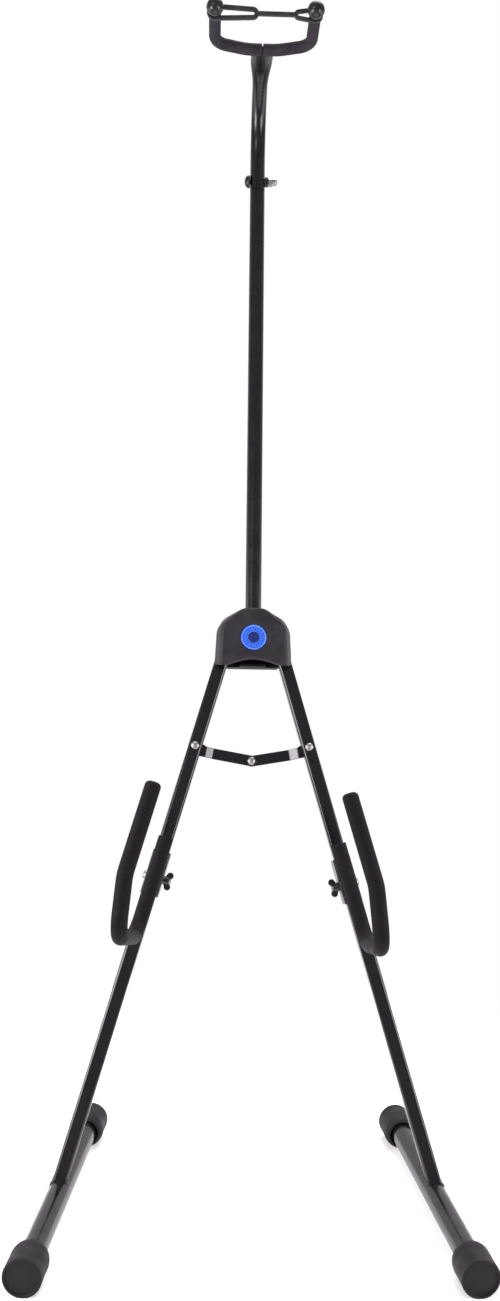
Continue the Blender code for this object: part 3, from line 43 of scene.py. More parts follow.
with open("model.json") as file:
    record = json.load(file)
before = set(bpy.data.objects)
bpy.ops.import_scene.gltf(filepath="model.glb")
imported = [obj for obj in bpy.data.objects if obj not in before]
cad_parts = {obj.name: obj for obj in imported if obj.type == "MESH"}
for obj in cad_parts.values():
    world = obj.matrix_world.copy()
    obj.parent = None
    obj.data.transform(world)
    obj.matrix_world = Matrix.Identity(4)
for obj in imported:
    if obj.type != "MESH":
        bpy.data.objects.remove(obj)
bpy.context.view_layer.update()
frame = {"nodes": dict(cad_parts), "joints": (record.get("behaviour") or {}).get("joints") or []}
JOINTS = {joint["name"]: joint for joint in frame["joints"]}
MM = 0.001
SIDES = (("left", -1), ("right", 1))
GAP = 0.3 * MM
SHOWN_ANGLE = math.radians(32)


# Settings

def length(name, description, millimetres):
    """A size in millimetres, kept in metres."""
    return FloatProperty(
        name=name, description=description, default=millimetres * MM,
        min=0.0, unit="LENGTH", subtype="DISTANCE", precision=5,
    )


def turn(name, description, degrees):
    """An angle given in degrees."""
    return FloatProperty(
        name=name, description=description, default=math.radians(degrees), unit="ROTATION", subtype="ANGLE"
    )


def share(name, description, value):
    """A plain number."""
    return FloatProperty(name=name, description=description, default=value, min=0.0)


def colour(name, description, value):
    """A surface colour."""
    return FloatVectorProperty(
        name=name, description=description, default=value, size=3, min=0.0, max=1.0, subtype="COLOR"
    )


class StandFrameSettings(PropertyGroup):
    """Tubes of the stand."""
    mast_diameter: length("Mast Diameter", "Outside of the mast tube", 19.05)
    mast_wall: length("Mast Wall", "Wall of the mast and neck tubes", 1.5)
    mast_below: length("Mast Below Pivots", "How far the mast runs below the pivots", 12.0)
    mast_above: length("Mast Above Pivots", "From the pivots up to the seam of the neck", 597.0)
    neck_straight: length("Neck Straight", "Straight part of the neck above the seam", 37.0)
    neck_radius: length("Neck Bend Radius", "Bend of the neck", 81.4)
    neck_run: length("Neck End Run", "From the bend to the middle of the yoke rod", 27.5)
    neck_bend: turn("Neck Bend", "How far the neck turns", 106.0)
    flatten_bend: turn("Flattened Bend", "Last part of the bend, over which the neck is flattened", 36.0)
    neck_end_width: length("Neck End Width", "Flattened end across", 27.0)
    neck_end_thickness: length("Neck End Thickness", "Flattened end through", 8.4)
    leg_length: length("Leg Length", "From the pivot to the foot tube", 621.2)
    leg_width: length("Leg Width", "Square leg tube", 15.9)
    leg_corner: length("Leg Corner", "Corner radius of the leg tube", 3.3)
    leg_top: length("Leg Top", "How far the leg runs above its pivot", 12.0)


class StandHubSettings(PropertyGroup):
    """Moulded housing and its badge."""
    front_depth: length("Front Depth", "Depth of the front shell", 24.0)
    rear_depth: length("Rear Depth", "Depth of the rear shell", 21.0)
    straight: length("Straight Depth", "Depth before the sides draw in", 8.0)
    wall: length("Wall", "Wall of the shells", 2.5)
    edge: length("Edge", "Rounding of the outer edge", 5.0)
    corner: length("Corner", "Rounding between the sides", 6.0)
    inset: length("Face Inset", "How far the sides draw in", 9.4)
    drop: length("Face Drop", "How far the top draws down", 4.5)
    arch_rise: length("Arch Rise", "Rise of the arch below the front face", 5.3)
    arch_half: length("Arch Half Width", "Half the width of the arch", 28.5)
    badge_diameter: length("Badge Diameter", "Round badge", 30.0)
    badge_thickness: length("Badge Thickness", "Round badge", 1.6)
    badge_drop: length("Badge Drop", "Badge centre below the pivots", 2.5)
    grain: length("Grain Size", "Pebbles of the moulded surface", 0.9)


class StandYokeSettings(PropertyGroup):
    """Padded yoke, balls and strap."""
    tilt: turn("Tilt", "How far the yoke points up", 8.4)
    rod: length("Rod Diameter", "Yoke rod", 9.0)
    sleeve: length("Sleeve Diameter", "Padded sleeve", 14.0)
    half_width: length("Half Width", "From the middle to an arm of the yoke", 58.0)
    reach: length("Reach", "From the rod's middle to the ball centres", 82.0)
    shoulder: length("Shoulder Reach", "How far the back of the yoke bows", 12.0)
    shallow: length("Shallow Radius", "Bend next to the neck", 60.0)
    corner: length("Corner Radius", "Bend into the arms", 20.0)
    notch: length("Notch", "Half the gap between the sleeves", 0.7)
    ball: length("Ball Diameter", "Rubber ball", 19.8)
    strap_thickness: length("Strap Thickness", "Rubber strap", 3.4)
    strand: length("Strand", "Width of one strand of the strap", 4.6)
    slot_length: length("Slot Length", "Long slot of the strap", 46.0)
    eye_length: length("Eye Length", "Small eye of the strap", 20.5)


class StandFootSettings(PropertyGroup):
    """Foot tubes and their rubber caps."""
    tube: length("Foot Tube", "Outside of the foot tube", 25.0)
    wall: length("Foot Tube Wall", "Wall of the foot tube", 1.5)
    toe_out: turn("Toe Out", "How far the feet point outward", 5.6)
    front: length("Front Reach", "From the leg to the front cap's end", 168.7)
    rear: length("Rear Reach", "From the leg to the rear cap's end", 168.0)
    cap: length("Cap Diameter", "Rubber cap", 39.0)
    mouth: length("Cap Mouth", "Cap where the tube enters", 30.0)
    cap_length: length("Cap Length", "Rubber cap", 40.0)
    end_wall: length("Cap End Wall", "Rubber behind the tube's end", 6.0)
    shoulder: length("Cap Shoulder", "Length over which the cap widens", 11.0)
    flat: length("Cap Flat", "Width of the flat that rests on the floor", 10.0)


class StandBraceSettings(PropertyGroup):
    """Brace links and rivets."""
    drop: length("Brace Distance", "From the pivot down the leg to the brace rivet", 133.7)
    reach: length("Link Reach", "From the leg rivet to the centre rivet", 67.8)
    rise: length("Eye Rise", "How far the leg rivet sits above the strip's middle", 3.0)
    width: length("Link Width", "Strip", 12.7)
    thickness: length("Link Thickness", "Strip", 2.5)
    step_start: length("Step Start", "Where the strip starts to step back", 12.0)
    step_length: length("Step Length", "Length of the step", 11.0)
    step_depth: length("Step Depth", "Depth of the step", 4.5)
    rivet: length("Rivet Diameter", "Shank of the rivets", 5.0)
    head: length("Rivet Head", "Head of the rivets", 9.4)
    head_height: length("Rivet Head Height", "Head of the rivets", 3.0)


class StandArmSettings(PropertyGroup):
    """Sliding padded arms."""
    left_station: length("Left Station", "Left arm's place below the pivot", 285.5)
    right_station: length("Right Station", "Right arm's place below the pivot", 291.0)
    left_swing: turn("Left Swing", "How far the left arm points outward", 4.1)
    right_swing: turn("Right Swing", "How far the right arm points outward", -1.2)
    bracket: length("Bracket Length", "Along the leg", 51.0)
    sheet: length("Bracket Sheet", "Sheet of the bracket", 2.0)
    rod: length("Rod Diameter", "Arm rod", 9.5)
    sleeve: length("Sleeve Diameter", "Padded sleeve", 17.2)
    above: length("Sleeve Above", "Sleeve above the bracket's middle", 41.0)
    below: length("Bottom Below", "Lowest run below the bracket's middle", 73.5)
    reach: length("Reach", "How far the arm reaches forward", 140.0)
    bend: length("Bend Radius", "Lower bends", 24.0)
    prong_lower: length("Lower Prong", "Leaning part of the prong", 60.0)
    prong_lean: turn("Prong Lean", "Lean of the lower part of the prong", 11.0)
    prong: length("Prong Height", "From the lowest run to the tip", 152.0)
    prong_bend: length("Prong Bend Radius", "Bend in the prong", 60.0)
    tip: length("Tip Height", "Rounded end", 6.0)
    bolt: length("Bolt Diameter", "Clamp bolt", 6.0)
    bolt_below: length("Bolt Below", "Bolt below the bracket's middle", 4.7)


class StandFinishSettings(PropertyGroup):
    """Colours of the stand."""
    enamel: colour("Black Enamel", "Tubes, links and brackets", (0.004, 0.0038, 0.0048))
    # Rear Shell is the same moulded black as the front shell, made darker as painted shade for the shade that falls
    # behind the front shell.
    rear: colour("Rear Shell", "The darker rear half of the housing", (0.0065, 0.0060, 0.0070))
    moulded: colour("Moulded Black", "Housing", (0.0205, 0.0186, 0.0222))
    cap: colour("Cap Rubber", "Foot caps", (0.0070, 0.0064, 0.0076))
    # The arm and yoke sleeves are one padded rubber. The arm sleeves' colour is darker as painted shade, and the yoke's
    # is lighter as painted light from above and in front.
    sleeve: colour("Sleeve Rubber", "Sleeves of the arms", (0.0070, 0.0064, 0.0077))
    yoke: colour("Yoke Rubber", "Sleeves of the yoke", (0.032, 0.029, 0.034))
    ball: colour("Ball Rubber", "Balls of the yoke", (0.012, 0.012, 0.015))
    strap: colour("Strap Rubber", "Strap of the yoke", (0.026, 0.026, 0.025))
    zinc: colour("Zinc", "Rivets, clamp bolts and the dome nut", (0.444, 0.438, 0.42))
    steel: colour("Plain Steel", "Plates, pins and screws inside the housing", (0.50, 0.50, 0.50))
    badge: colour("Badge Blue", "Round badge", (0.010, 0.060, 0.66))
    badge_pale: colour("Badge Pale Blue", "Rings of the badge", (0.075, 0.27, 0.93))
    nut: colour("Nut Black", "Wing nuts and the neck bolt", (0.012, 0.012, 0.012))


class StandStageSettings(PropertyGroup):
    """Floor, lights and camera."""
    floor_radius: length("Floor Radius", "Pale floor", 620.0)
    floor: colour("Floor", "Pale floor", (0.94, 0.94, 0.94))
    backdrop: share("Backdrop", "Brightness of the white backdrop", 1.0)
    room_front: share("Room Front", "Brightness of the room in front of the stand", 0.35)
    room_back: share("Room Back", "Brightness of the room behind the stand", 0.95)
    room_top: share("Room Top", "Brightness of the room above the stand", 0.5)
    overhead: share("Overhead Light", "Strength of the wide light overhead", 2.5)
    softboxes: share("Softboxes", "Power of each softbox in front", 11.5)
    strip: share("Left Strip", "Power of the narrow softbox that lights the right link", 7.0)
    key: share("Key Light", "Power of the far softbox on the left", 34.0)
    panels: share("Panels", "Power of each wide panel beside the stand", 9.0)
    glow: share("Floor Glow", "How much the floor is lit from below", 0.3)
    tint: colour("Light Tint", "Colour of all lights", (1.0, 0.965, 1.0))
    camera_place: FloatVectorProperty(
        name="Camera Place", description="Where the camera stands", size=3,
        default=(-0.05011, -1.3530, 0.68428), subtype="TRANSLATION", unit="LENGTH",
    )
    camera_yaw: turn("Camera Yaw", "Turned right", 1.66)
    camera_pitch: turn("Camera Pitch", "Tipped down", 3.39)
    camera_roll: turn("Camera Roll", "Rolled", -1.1)
    lens: FloatProperty(
        name="Lens", description="Focal length for a 36 mm long side", default=33.205, unit="CAMERA"
    )
    smoothness: IntProperty(name="Smoothness", description="Facets round a tube", default=48, min=12)


GROUPS = {
    "stand_frame": StandFrameSettings,
    "stand_hub": StandHubSettings,
    "stand_yoke": StandYokeSettings,
    "stand_foot": StandFootSettings,
    "stand_brace": StandBraceSettings,
    "stand_arm": StandArmSettings,
    "stand_finish": StandFinishSettings,
    "stand_stage": StandStageSettings,
}


def sizes(group):
    """The settings of one group."""
    return getattr(bpy.context.scene, f"stand_{group}")


# Places

def basis(x, y, z, origin):
    """A placing matrix from its three axes and its origin."""
    matrix = Matrix((x, y, z)).transposed().to_4x4()
    matrix.translation = origin
    return matrix


def back():
    """Square to the plane of the legs, towards the rear."""
    return -Vector(JOINTS["left_leg_fold"]["axis"]).normalized()


def hub_place():
    """Middle between the leg pivots, with Z along the mast."""
    middle = (Vector(JOINTS["left_leg_fold"]["pos_m"]) + Vector(JOINTS["right_leg_fold"]["pos_m"])) / 2
    across = Vector((1.0, 0.0, 0.0))
    return basis(across, back(), across.cross(back()), middle)


def seam_place():
    """Seam between the mast and the neck."""
    return hub_place() @ Matrix.Translation((0.0, 0.0, sizes("frame").mast_above))


def leg_place(word):
    """A leg's pivot, with Z up along the leg."""
    up = Vector(JOINTS[f"{word}_arm_slide"]["axis"]).normalized()
    return basis(back().cross(up), back(), up, Vector(JOINTS[f"{word}_leg_fold"]["pos_m"]))


def neck_corners():
    """Corners of the neck's middle line, in the seam's place."""
    s = sizes("frame")
    bend = s.neck_bend
    tangent = s.neck_radius * math.tan(bend / 2)
    corner = Vector((0.0, 0.0, s.neck_straight + tangent))
    heading = Vector((0.0, -math.sin(bend), math.cos(bend)))
    return [Vector((0.0, 0.0, GAP / 2)), corner, corner + heading * (tangent + s.neck_run)]


def yoke_place():
    """Middle of the yoke rod, with -Y towards the balls."""
    spot = seam_place() @ neck_corners()[-1]
    return Matrix.Translation(spot) @ Matrix.Rotation(-sizes("yoke").tilt, 4, "X")


def foot_place(word, side):
    """Middle of a foot tube, with Y along it."""
    s = sizes("foot")
    spot = leg_place(word) @ Vector((0.0, 0.0, -sizes("frame").leg_length))
    spot.z -= s.tube / 2
    return Matrix.Translation(spot) @ Matrix.Rotation(side * s.toe_out, 4, "Z")


def arm_place(word):
    """Middle of an arm's bracket, in the leg's axes."""
    station = getattr(sizes("arm"), f"{word}_station")
    return leg_place(word) @ Matrix.Translation((0.0, 0.0, -station))


def link_place(word, side):
    """A link's leg rivet, turned so that the link runs to the middle."""
    s = sizes("brace")
    spread = math.radians(16.05)
    half = hub_half() + s.drop * math.sin(spread)
    droop = math.acos(half / math.hypot(s.reach, s.rise)) - math.atan2(s.rise, s.reach)
    turned = Matrix.Rotation(side * (spread - droop), 4, "Y")
    return leg_place(word) @ Matrix.Translation((0.0, 0.0, -s.drop)) @ turned


def hub_half():
    """Half the distance between the leg pivots."""
    return abs(JOINTS["left_leg_fold"]["pos_m"][0])


# Solids

def facets():
    """How many facets go round a tube."""
    return sizes("stage").smoothness


def arc(centre, radius, start, end, steps):
    """Points (across, along) on a quarter or other part of an ellipse; angles in degrees."""
    points = []
    for k in range(steps + 1):
        angle = math.radians(start + (end - start) * k / steps)
        points.append((centre[0] + radius[0] * math.cos(angle), centre[1] + radius[1] * math.sin(angle)))
    return points


def lathe(profile, segments=None, closed=False):
    """Spin (radius, height) points about Z; a closed profile leaves a bore."""
    bm = bmesh.new()
    verts = [bm.verts.new((radius, 0.0, height)) for radius, height in profile]
    pairs = list(zip(verts, verts[1:]))
    if closed:
        pairs.append((verts[-1], verts[0]))
    edges = [bm.edges.new(pair) for pair in pairs]
    bmesh.ops.spin(
        bm, geom=verts + edges, cent=(0, 0, 0), axis=(0, 0, 1), dvec=(0, 0, 0),
        angle=2 * math.pi, steps=segments or facets(), use_merge=True, use_duplicate=False,
    )
    bmesh.ops.remove_doubles(bm, verts=bm.verts, dist=1e-6)
    bmesh.ops.recalc_face_normals(bm, faces=bm.faces)
    return bm


def along(bm, axis):
    """Turn a solid made along Z so that it runs along another axis."""
    spin = Vector((0.0, 0.0, 1.0)).rotation_difference(Vector(axis))
    bmesh.ops.rotate(bm, verts=bm.verts, cent=(0, 0, 0), matrix=spin.to_matrix())
    return bm


def moved(bm, offset):
    """Shift a solid."""
    bmesh.ops.translate(bm, verts=bm.verts, vec=offset)
    return bm


def bar(radius, low, high, axis=(0, 0, 1), segments=None):
    """A plain round bar between two heights along an axis."""
    return along(lathe([(0.0, low), (radius, low), (radius, high), (0.0, high)], segments), axis)


def carried(bm, rim, offset):
    """Extrude a rim and carry it along; returns the new rim."""
    made = bmesh.ops.extrude_edge_only(bm, edges=rim)["geom"]
    verts = [item for item in made if isinstance(item, bmesh.types.BMVert)]
    bmesh.ops.translate(bm, verts=verts, vec=offset)
    fresh = set(verts)
    return [item for item in made if isinstance(item, bmesh.types.BMEdge) and set(item.verts) <= fresh]


def swept(radius, corners, radii, step=math.radians(5), segments=None):
    """A closed bar that follows straight runs joined by bends."""
    corners = [Vector(corner) for corner in corners]
    bm = bmesh.new()
    heading = (corners[1] - corners[0]).normalized()
    start = Matrix.Translation(corners[0]) @ heading.to_track_quat("Z", "Y").to_matrix().to_4x4()
    made = bmesh.ops.create_circle(
        bm, cap_ends=False, radius=radius, segments=segments or facets(), matrix=start
    )
    rim = list({edge for vert in made["verts"] for edge in vert.link_edges})
    place = corners[0]
    for before, corner, after, bend in zip(corners, corners[1:], corners[2:], radii):
        arriving = (corner - before).normalized()
        leaving = (after - corner).normalized()
        angle = arriving.angle(leaving)
        axis = arriving.cross(leaving).normalized()
        set_back = bend * math.tan(angle / 2)
        rim = carried(bm, rim, corner - arriving * set_back - place)
        made = bmesh.ops.spin(
            bm, geom=rim, cent=corner - arriving * set_back + axis.cross(arriving) * bend, axis=axis,
            dvec=(0, 0, 0), angle=angle, steps=max(3, math.ceil(angle / step)), use_duplicate=False,
        )
        rim = [item for item in made["geom_last"] if isinstance(item, bmesh.types.BMEdge)]
        place = corner + leaving * set_back
    carried(bm, rim, corners[-1] - place)
    bmesh.ops.holes_fill(bm, edges=[edge for edge in bm.edges if edge.is_boundary], sides=0)
    bmesh.ops.recalc_face_normals(bm, faces=bm.faces)
    return bm


def prism(outline, low, high):
    """A block with an (x, z) outline between two depths along Y."""
    bm = bmesh.new()
    face = bm.faces.new([bm.verts.new((x, low, z)) for x, z in outline])
    made = bmesh.ops.extrude_face_region(bm, geom=[face])["geom"]
    verts = [item for item in made if isinstance(item, bmesh.types.BMVert)]
    bmesh.ops.translate(bm, verts=verts, vec=(0.0, high - low, 0.0))
    bmesh.ops.recalc_face_normals(bm, faces=bm.faces)
    return bm


def box(low, high):
    """A plain block between two corners."""
    bm = bmesh.new()
    bmesh.ops.create_cube(bm, size=1.0)
    bmesh.ops.scale(bm, verts=bm.verts, vec=[b - a for a, b in zip(low, high)])
    return moved(bm, [(a + b) / 2 for a, b in zip(low, high)])


def bean(ends, low, high):
    """A block round two circles (x, z, radius), between two depths along Y."""
    bm = bmesh.new()
    for x, z, radius in ends:
        for depth in (low, high):
            turned = Matrix.Translation((x, depth, z)) @ Matrix.Rotation(math.pi / 2, 4, "X")
            bmesh.ops.create_circle(bm, cap_ends=False, radius=radius, segments=32, matrix=turned)
    made = bmesh.ops.convex_hull(bm, input=bm.verts)
    spare = [item for item in made["geom_interior"] + made["geom_unused"] if item.is_valid]
    bmesh.ops.delete(bm, geom=[item for item in spare if isinstance(item, bmesh.types.BMVert)], context="VERTS")
    bmesh.ops.dissolve_limit(bm, angle_limit=math.radians(0.5), verts=bm.verts, edges=bm.edges)
    bmesh.ops.recalc_face_normals(bm, faces=bm.faces)
    return bm


def eased(bm, width, segments=3, angle=50.0, chosen=None):
    """Round the edges that turn by more than an angle."""
    edges = []
    for edge in bm.edges:
        if len(edge.link_faces) == 2 and edge.calc_face_angle(0.0) > math.radians(angle):
            if chosen is None or chosen(edge):
                edges.append(edge)
    bmesh.ops.bevel(
        bm, geom=edges, offset=width, offset_type="OFFSET", segments=segments, profile=0.5,
        affect="EDGES", clamp_overlap=True, material=-1,
    )
    return bm


def rounded(bm, verts, width, segments=6):
    """Round the corners of a flat outline."""
    bmesh.ops.bevel(
        bm, geom=list(verts), offset=width, offset_type="OFFSET", segments=segments, profile=0.5,
        affect="VERTICES", clamp_overlap=True, material=-1,
    )
    return bm


def helper(bm):
    """A throwaway object for a boolean."""
    mesh = bpy.data.meshes.new("helper")
    bm.to_mesh(mesh)
    bm.free()
    made = bpy.data.objects.new("helper", mesh)
    bpy.context.scene.collection.objects.link(made)
    return made


def solved(bm, steps):
    """Cut, join or cross a solid with others and return the result."""
    base = helper(bm)
    others = []
    for operation, other in steps:
        item = helper(other)
        others.append(item)
        step = base.modifiers.new("step", "BOOLEAN")
        step.operation = operation
        step.solver = "EXACT"
        step.object = item
    bpy.context.view_layer.update()
    graph = bpy.context.evaluated_depsgraph_get()
    result = bmesh.new()
    result.from_mesh(base.evaluated_get(graph).to_mesh())
    for item in [base] + others:
        mesh = item.data
        bpy.data.objects.remove(item)
        bpy.data.meshes.remove(mesh)
    bmesh.ops.remove_doubles(result, verts=result.verts, dist=2e-6)
    bmesh.ops.dissolve_degenerate(result, dist=1e-6, edges=result.edges)
    return result


def cut(bm, *others):
    """Take solids away from a solid."""
    return solved(bm, [("DIFFERENCE", other) for other in others])


def joined(bm, *others):
    """Join solids into one."""
    return solved(bm, [("UNION", other) for other in others])


def piece(name, bm, place, body, stands_for, surface, angle=SHOWN_ANGLE):
    """Put a made solid in place as a named piece that rides on a body."""
    if not bm.faces:
        raise RuntimeError(f"{name} has no faces")
    bmesh.ops.transform(bm, matrix=place, verts=bm.verts)
    bmesh.ops.recalc_face_normals(bm, faces=bm.faces)
    mesh = bpy.data.meshes.new(name)
    bm.to_mesh(mesh)
    bm.free()
    mesh.materials.append(surface)
    mesh.shade_smooth()
    mesh.set_sharp_from_angle(angle=angle)
    made = bpy.data.objects.new(name, mesh)
    bpy.context.scene.collection.objects.link(made)
    weights = made.modifiers.new("Even Normals", "WEIGHTED_NORMAL")
    weights.keep_sharp = True
    weights.weight = 60
    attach(made, body)
    if stands_for:
        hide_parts(*stands_for)
    return made


# Surface effects

class Nodes:
    """A node tree with short calls for adding and joining its nodes."""

    def __init__(self, tree):
        self.tree = tree

    def add(self, kind, inputs=None, **settings):
        """Add a node, set its options and fill its inputs with values or links."""
        made = self.tree.nodes.new(kind)
        for key, value in settings.items():
            setattr(made, key, value)
        for key, value in (inputs or {}).items():
            if isinstance(value, bpy.types.NodeSocket):
                self.tree.links.new(value, made.inputs[key])
            else:
                made.inputs[key].default_value = value
        return made

    def maths(self, operation, first, second=0.0, third=0.0):
        """One Math node's result."""
        made = self.add("ShaderNodeMath", {0: first, 1: second, 2: third}, operation=operation)
        return made.outputs[0]

    def ramp(self, value, low, high, to_low=0.0, to_high=1.0):
        """Map a value from one range to another, held at the ends."""
        made = self.add(
            "ShaderNodeMapRange",
            {"Value": value, "From Min": low, "From Max": high, "To Min": to_low, "To Max": to_high},
        )
        return made.outputs["Result"]

    def mix(self, share, first, second):
        """Blend two colours."""
        made = self.add("ShaderNodeMix", data_type="RGBA")
        for key, value in ((0, share), (6, first), (7, second)):
            if isinstance(value, bpy.types.NodeSocket):
                self.tree.links.new(value, made.inputs[key])
            else:
                made.inputs[key].default_value = value
        return made.outputs[2]

    def noise(self, vector, scale, detail=3.0, roughness=0.55):
        """A soft noise value."""
        made = self.add(
            "ShaderNodeTexNoise", {"Vector": vector, "Scale": scale, "Detail": detail, "Roughness": roughness}
        )
        return made.outputs["Fac"]


def group(name, inputs, outputs):
    """Start a node group with named sockets."""
    tree = bpy.data.node_groups.new(name, "ShaderNodeTree")
    for label, kind, default in inputs:
        socket = tree.interface.new_socket(name=label, in_out="INPUT", socket_type=kind)
        if default is not None:
            socket.default_value = default
    for label, kind in outputs:
        tree.interface.new_socket(name=label, in_out="OUTPUT", socket_type=kind)
    nodes = Nodes(tree)
    return nodes, nodes.add("NodeGroupInput"), nodes.add("NodeGroupOutput")


def make_pebble_group():
    """Fine moulded pebbles with a slow unevenness under them."""
    nodes, given, out = group(
        "Pebble Grain",
        [("Vector", "NodeSocketVector", None), ("Size", "NodeSocketFloat", 0.001), ("Swell", "NodeSocketFloat", 0.3)],
        [("Height", "NodeSocketFloat"), ("Mottle", "NodeSocketFloat")],
    )
    scale = nodes.maths("DIVIDE", 1.0, given.outputs["Size"])
    cells = nodes.add("ShaderNodeTexVoronoi", {"Vector": given.outputs["Vector"], "Scale": scale}, feature="F1")
    pebble = nodes.ramp(cells.outputs["Distance"], 0.1, 0.75, 1.0, 0.0)
    fine = nodes.noise(given.outputs["Vector"], nodes.maths("MULTIPLY", scale, 2.3), 2.0)
    slow = nodes.noise(given.outputs["Vector"], nodes.maths("MULTIPLY", scale, 0.06), 2.0)
    grain = nodes.maths("MULTIPLY_ADD", fine, 0.4, nodes.maths("MULTIPLY", pebble, 0.6))
    height = nodes.maths("MULTIPLY_ADD", slow, given.outputs["Swell"], grain)
    nodes.tree.links.new(height, out.inputs["Height"])
    nodes.tree.links.new(slow, out.inputs["Mottle"])
    return nodes.tree


def make_flow_group():
    """Slow ripple of a sprayed or baked coat, and its uneven gloss."""
    nodes, given, out = group(
        "Coat Flow",
        [("Vector", "NodeSocketVector", None), ("Size", "NodeSocketFloat", 0.004)],
        [("Height", "NodeSocketFloat"), ("Haze", "NodeSocketFloat")],
    )
    scale = nodes.maths("DIVIDE", 1.0, given.outputs["Size"])
    peel = nodes.noise(given.outputs["Vector"], scale, 1.5, 0.4)
    broad = nodes.noise(given.outputs["Vector"], nodes.maths("MULTIPLY", scale, 0.08), 3.0, 0.6)
    nodes.tree.links.new(peel, out.inputs["Height"])
    nodes.tree.links.new(nodes.ramp(broad, 0.42, 0.68), out.inputs["Haze"])
    return nodes.tree


def make_scuff_group():
    """Hairline marks left by handling, in two directions."""
    nodes, given, out = group(
        "Handling Scuffs",
        [("Vector", "NodeSocketVector", None), ("Amount", "NodeSocketFloat", 0.3)],
        [("Mask", "NodeSocketFloat")],
    )
    marks = []
    for spin, stretch in ((0.35, (900.0, 900.0, 26.0)), (1.1, (700.0, 30.0, 700.0))):
        turned = nodes.add(
            "ShaderNodeMapping", {"Vector": given.outputs["Vector"], "Rotation": (spin, spin * 0.6, spin), "Scale": stretch}
        )
        line = nodes.noise(turned.outputs["Vector"], 1.0, 2.0)
        marks.append(nodes.ramp(line, 0.66, 0.74))
    where = nodes.ramp(nodes.noise(given.outputs["Vector"], 22.0, 2.0), 0.5, 0.7)
    both = nodes.maths("MAXIMUM", marks[0], marks[1])
    mask = nodes.maths("MULTIPLY", nodes.maths("MULTIPLY", both, where), given.outputs["Amount"])
    nodes.tree.links.new(mask, out.inputs["Mask"])
    return nodes.tree


def make_dust_group():
    """Light dust that settles on what faces up."""
    nodes, given, out = group(
        "Settled Dust",
        [("Vector", "NodeSocketVector", None), ("Amount", "NodeSocketFloat", 0.2)],
        [("Mask", "NodeSocketFloat")],
    )
    normal = nodes.add("ShaderNodeNewGeometry").outputs["Normal"]
    up = nodes.add("ShaderNodeSeparateXYZ", {"Vector": normal}).outputs["Z"]
    patchy = nodes.ramp(nodes.noise(given.outputs["Vector"], 60.0, 4.0, 0.7), 0.35, 0.75)
    speck = nodes.ramp(nodes.noise(given.outputs["Vector"], 900.0, 2.0), 0.62, 0.74)
    laid = nodes.maths("MULTIPLY", nodes.ramp(up, 0.1, 0.95), nodes.maths("MULTIPLY_ADD", speck, 0.6, patchy))
    nodes.tree.links.new(nodes.maths("MULTIPLY", laid, given.outputs["Amount"]), out.inputs["Mask"])
    return nodes.tree


EFFECTS = {}


def make_effects():
    """Build the shared effects once."""
    EFFECTS["pebble"] = make_pebble_group()
    EFFECTS["flow"] = make_flow_group()
    EFFECTS["scuff"] = make_scuff_group()
    EFFECTS["dust"] = make_dust_group()


def effect(nodes, name, vector, **values):
    """Place a shared effect in a material with its own values."""
    made = nodes.add("ShaderNodeGroup", node_tree=EFFECTS[name])
    nodes.tree.links.new(vector, made.inputs["Vector"])
    for key, value in values.items():
        made.inputs[key].default_value = value
    return made


def surface(name):
    """Start a material: its nodes, its shader and its object coordinates."""
    made = bpy.data.materials.new(name)
    made.use_nodes = True
    nodes = Nodes(made.node_tree)
    shader = made.node_tree.nodes["Principled BSDF"]
    return made, nodes, shader, nodes.add("ShaderNodeTexCoord").outputs["Object"]


def joint_bump(nodes, shader, height, distance, strength=1.0):
    """Raise the surface by a height."""
    bump = nodes.add("ShaderNodeBump", {"Height": height, "Distance": distance, "Strength": strength})
    nodes.tree.links.new(bump.outputs["Normal"], shader.inputs["Normal"])


def solid(value, lift=1.0):
    """A colour with its alpha, lighter or darker."""
    return (*[min(1.0, channel * lift) for channel in value], 1.0)


def enamel_surface(name, value, haze=(0.14, 0.25), peel=0.00002, dust=0.05):
    """Gloss enamel on steel tube: slow ripple, hazy patches, hairlines and a little dust."""
    made, nodes, shader, vector = surface(name)
    flow = effect(nodes, "flow", vector, Size=0.0035)
    scuff = effect(nodes, "scuff", vector, Amount=0.5)
    dusty = effect(nodes, "dust", vector, Amount=dust)
    pale = nodes.mix(dusty.outputs["Mask"], solid(value), (0.30, 0.29, 0.28, 1.0))
    base = nodes.mix(scuff.outputs["Mask"], pale, solid(value, 5.0))
    nodes.tree.links.new(base, shader.inputs["Base Color"])
    rough = nodes.ramp(flow.outputs["Haze"], 0.0, 1.0, *haze)
    rough = nodes.maths("MULTIPLY_ADD", scuff.outputs["Mask"], 0.3, rough)
    nodes.tree.links.new(nodes.maths("MULTIPLY_ADD", dusty.outputs["Mask"], 1.5, rough), shader.inputs["Roughness"])
    shader.inputs["IOR"].default_value = 1.5
    joint_bump(nodes, shader, flow.outputs["Height"], peel)
    return made


def rubber_surface(name, value, size, depth, rough=(0.55, 0.75), dust=0.12, scuffs=0.25, shine=0.5):
    """Rubber or moulded plastic: pebbles, uneven tone, scuffs and dust."""
    made, nodes, shader, vector = surface(name)
    pebble = effect(nodes, "pebble", vector, Size=size)
    scuff = effect(nodes, "scuff", vector, Amount=scuffs)
    dusty = effect(nodes, "dust", vector, Amount=dust)
    tone = nodes.mix(nodes.ramp(pebble.outputs["Mottle"], 0.35, 0.65), solid(value, 0.82), solid(value, 1.2))
    tone = nodes.mix(scuff.outputs["Mask"], tone, solid(value, 3.2))
    tone = nodes.mix(dusty.outputs["Mask"], tone, (0.26, 0.25, 0.24, 1.0))
    nodes.tree.links.new(tone, shader.inputs["Base Color"])
    gloss = nodes.ramp(pebble.outputs["Mottle"], 0.35, 0.65, *rough)
    nodes.tree.links.new(nodes.maths("MULTIPLY_ADD", scuff.outputs["Mask"], 0.25, gloss), shader.inputs["Roughness"])
    shader.inputs["Specular IOR Level"].default_value = shine
    joint_bump(nodes, shader, pebble.outputs["Height"], depth)
    return made


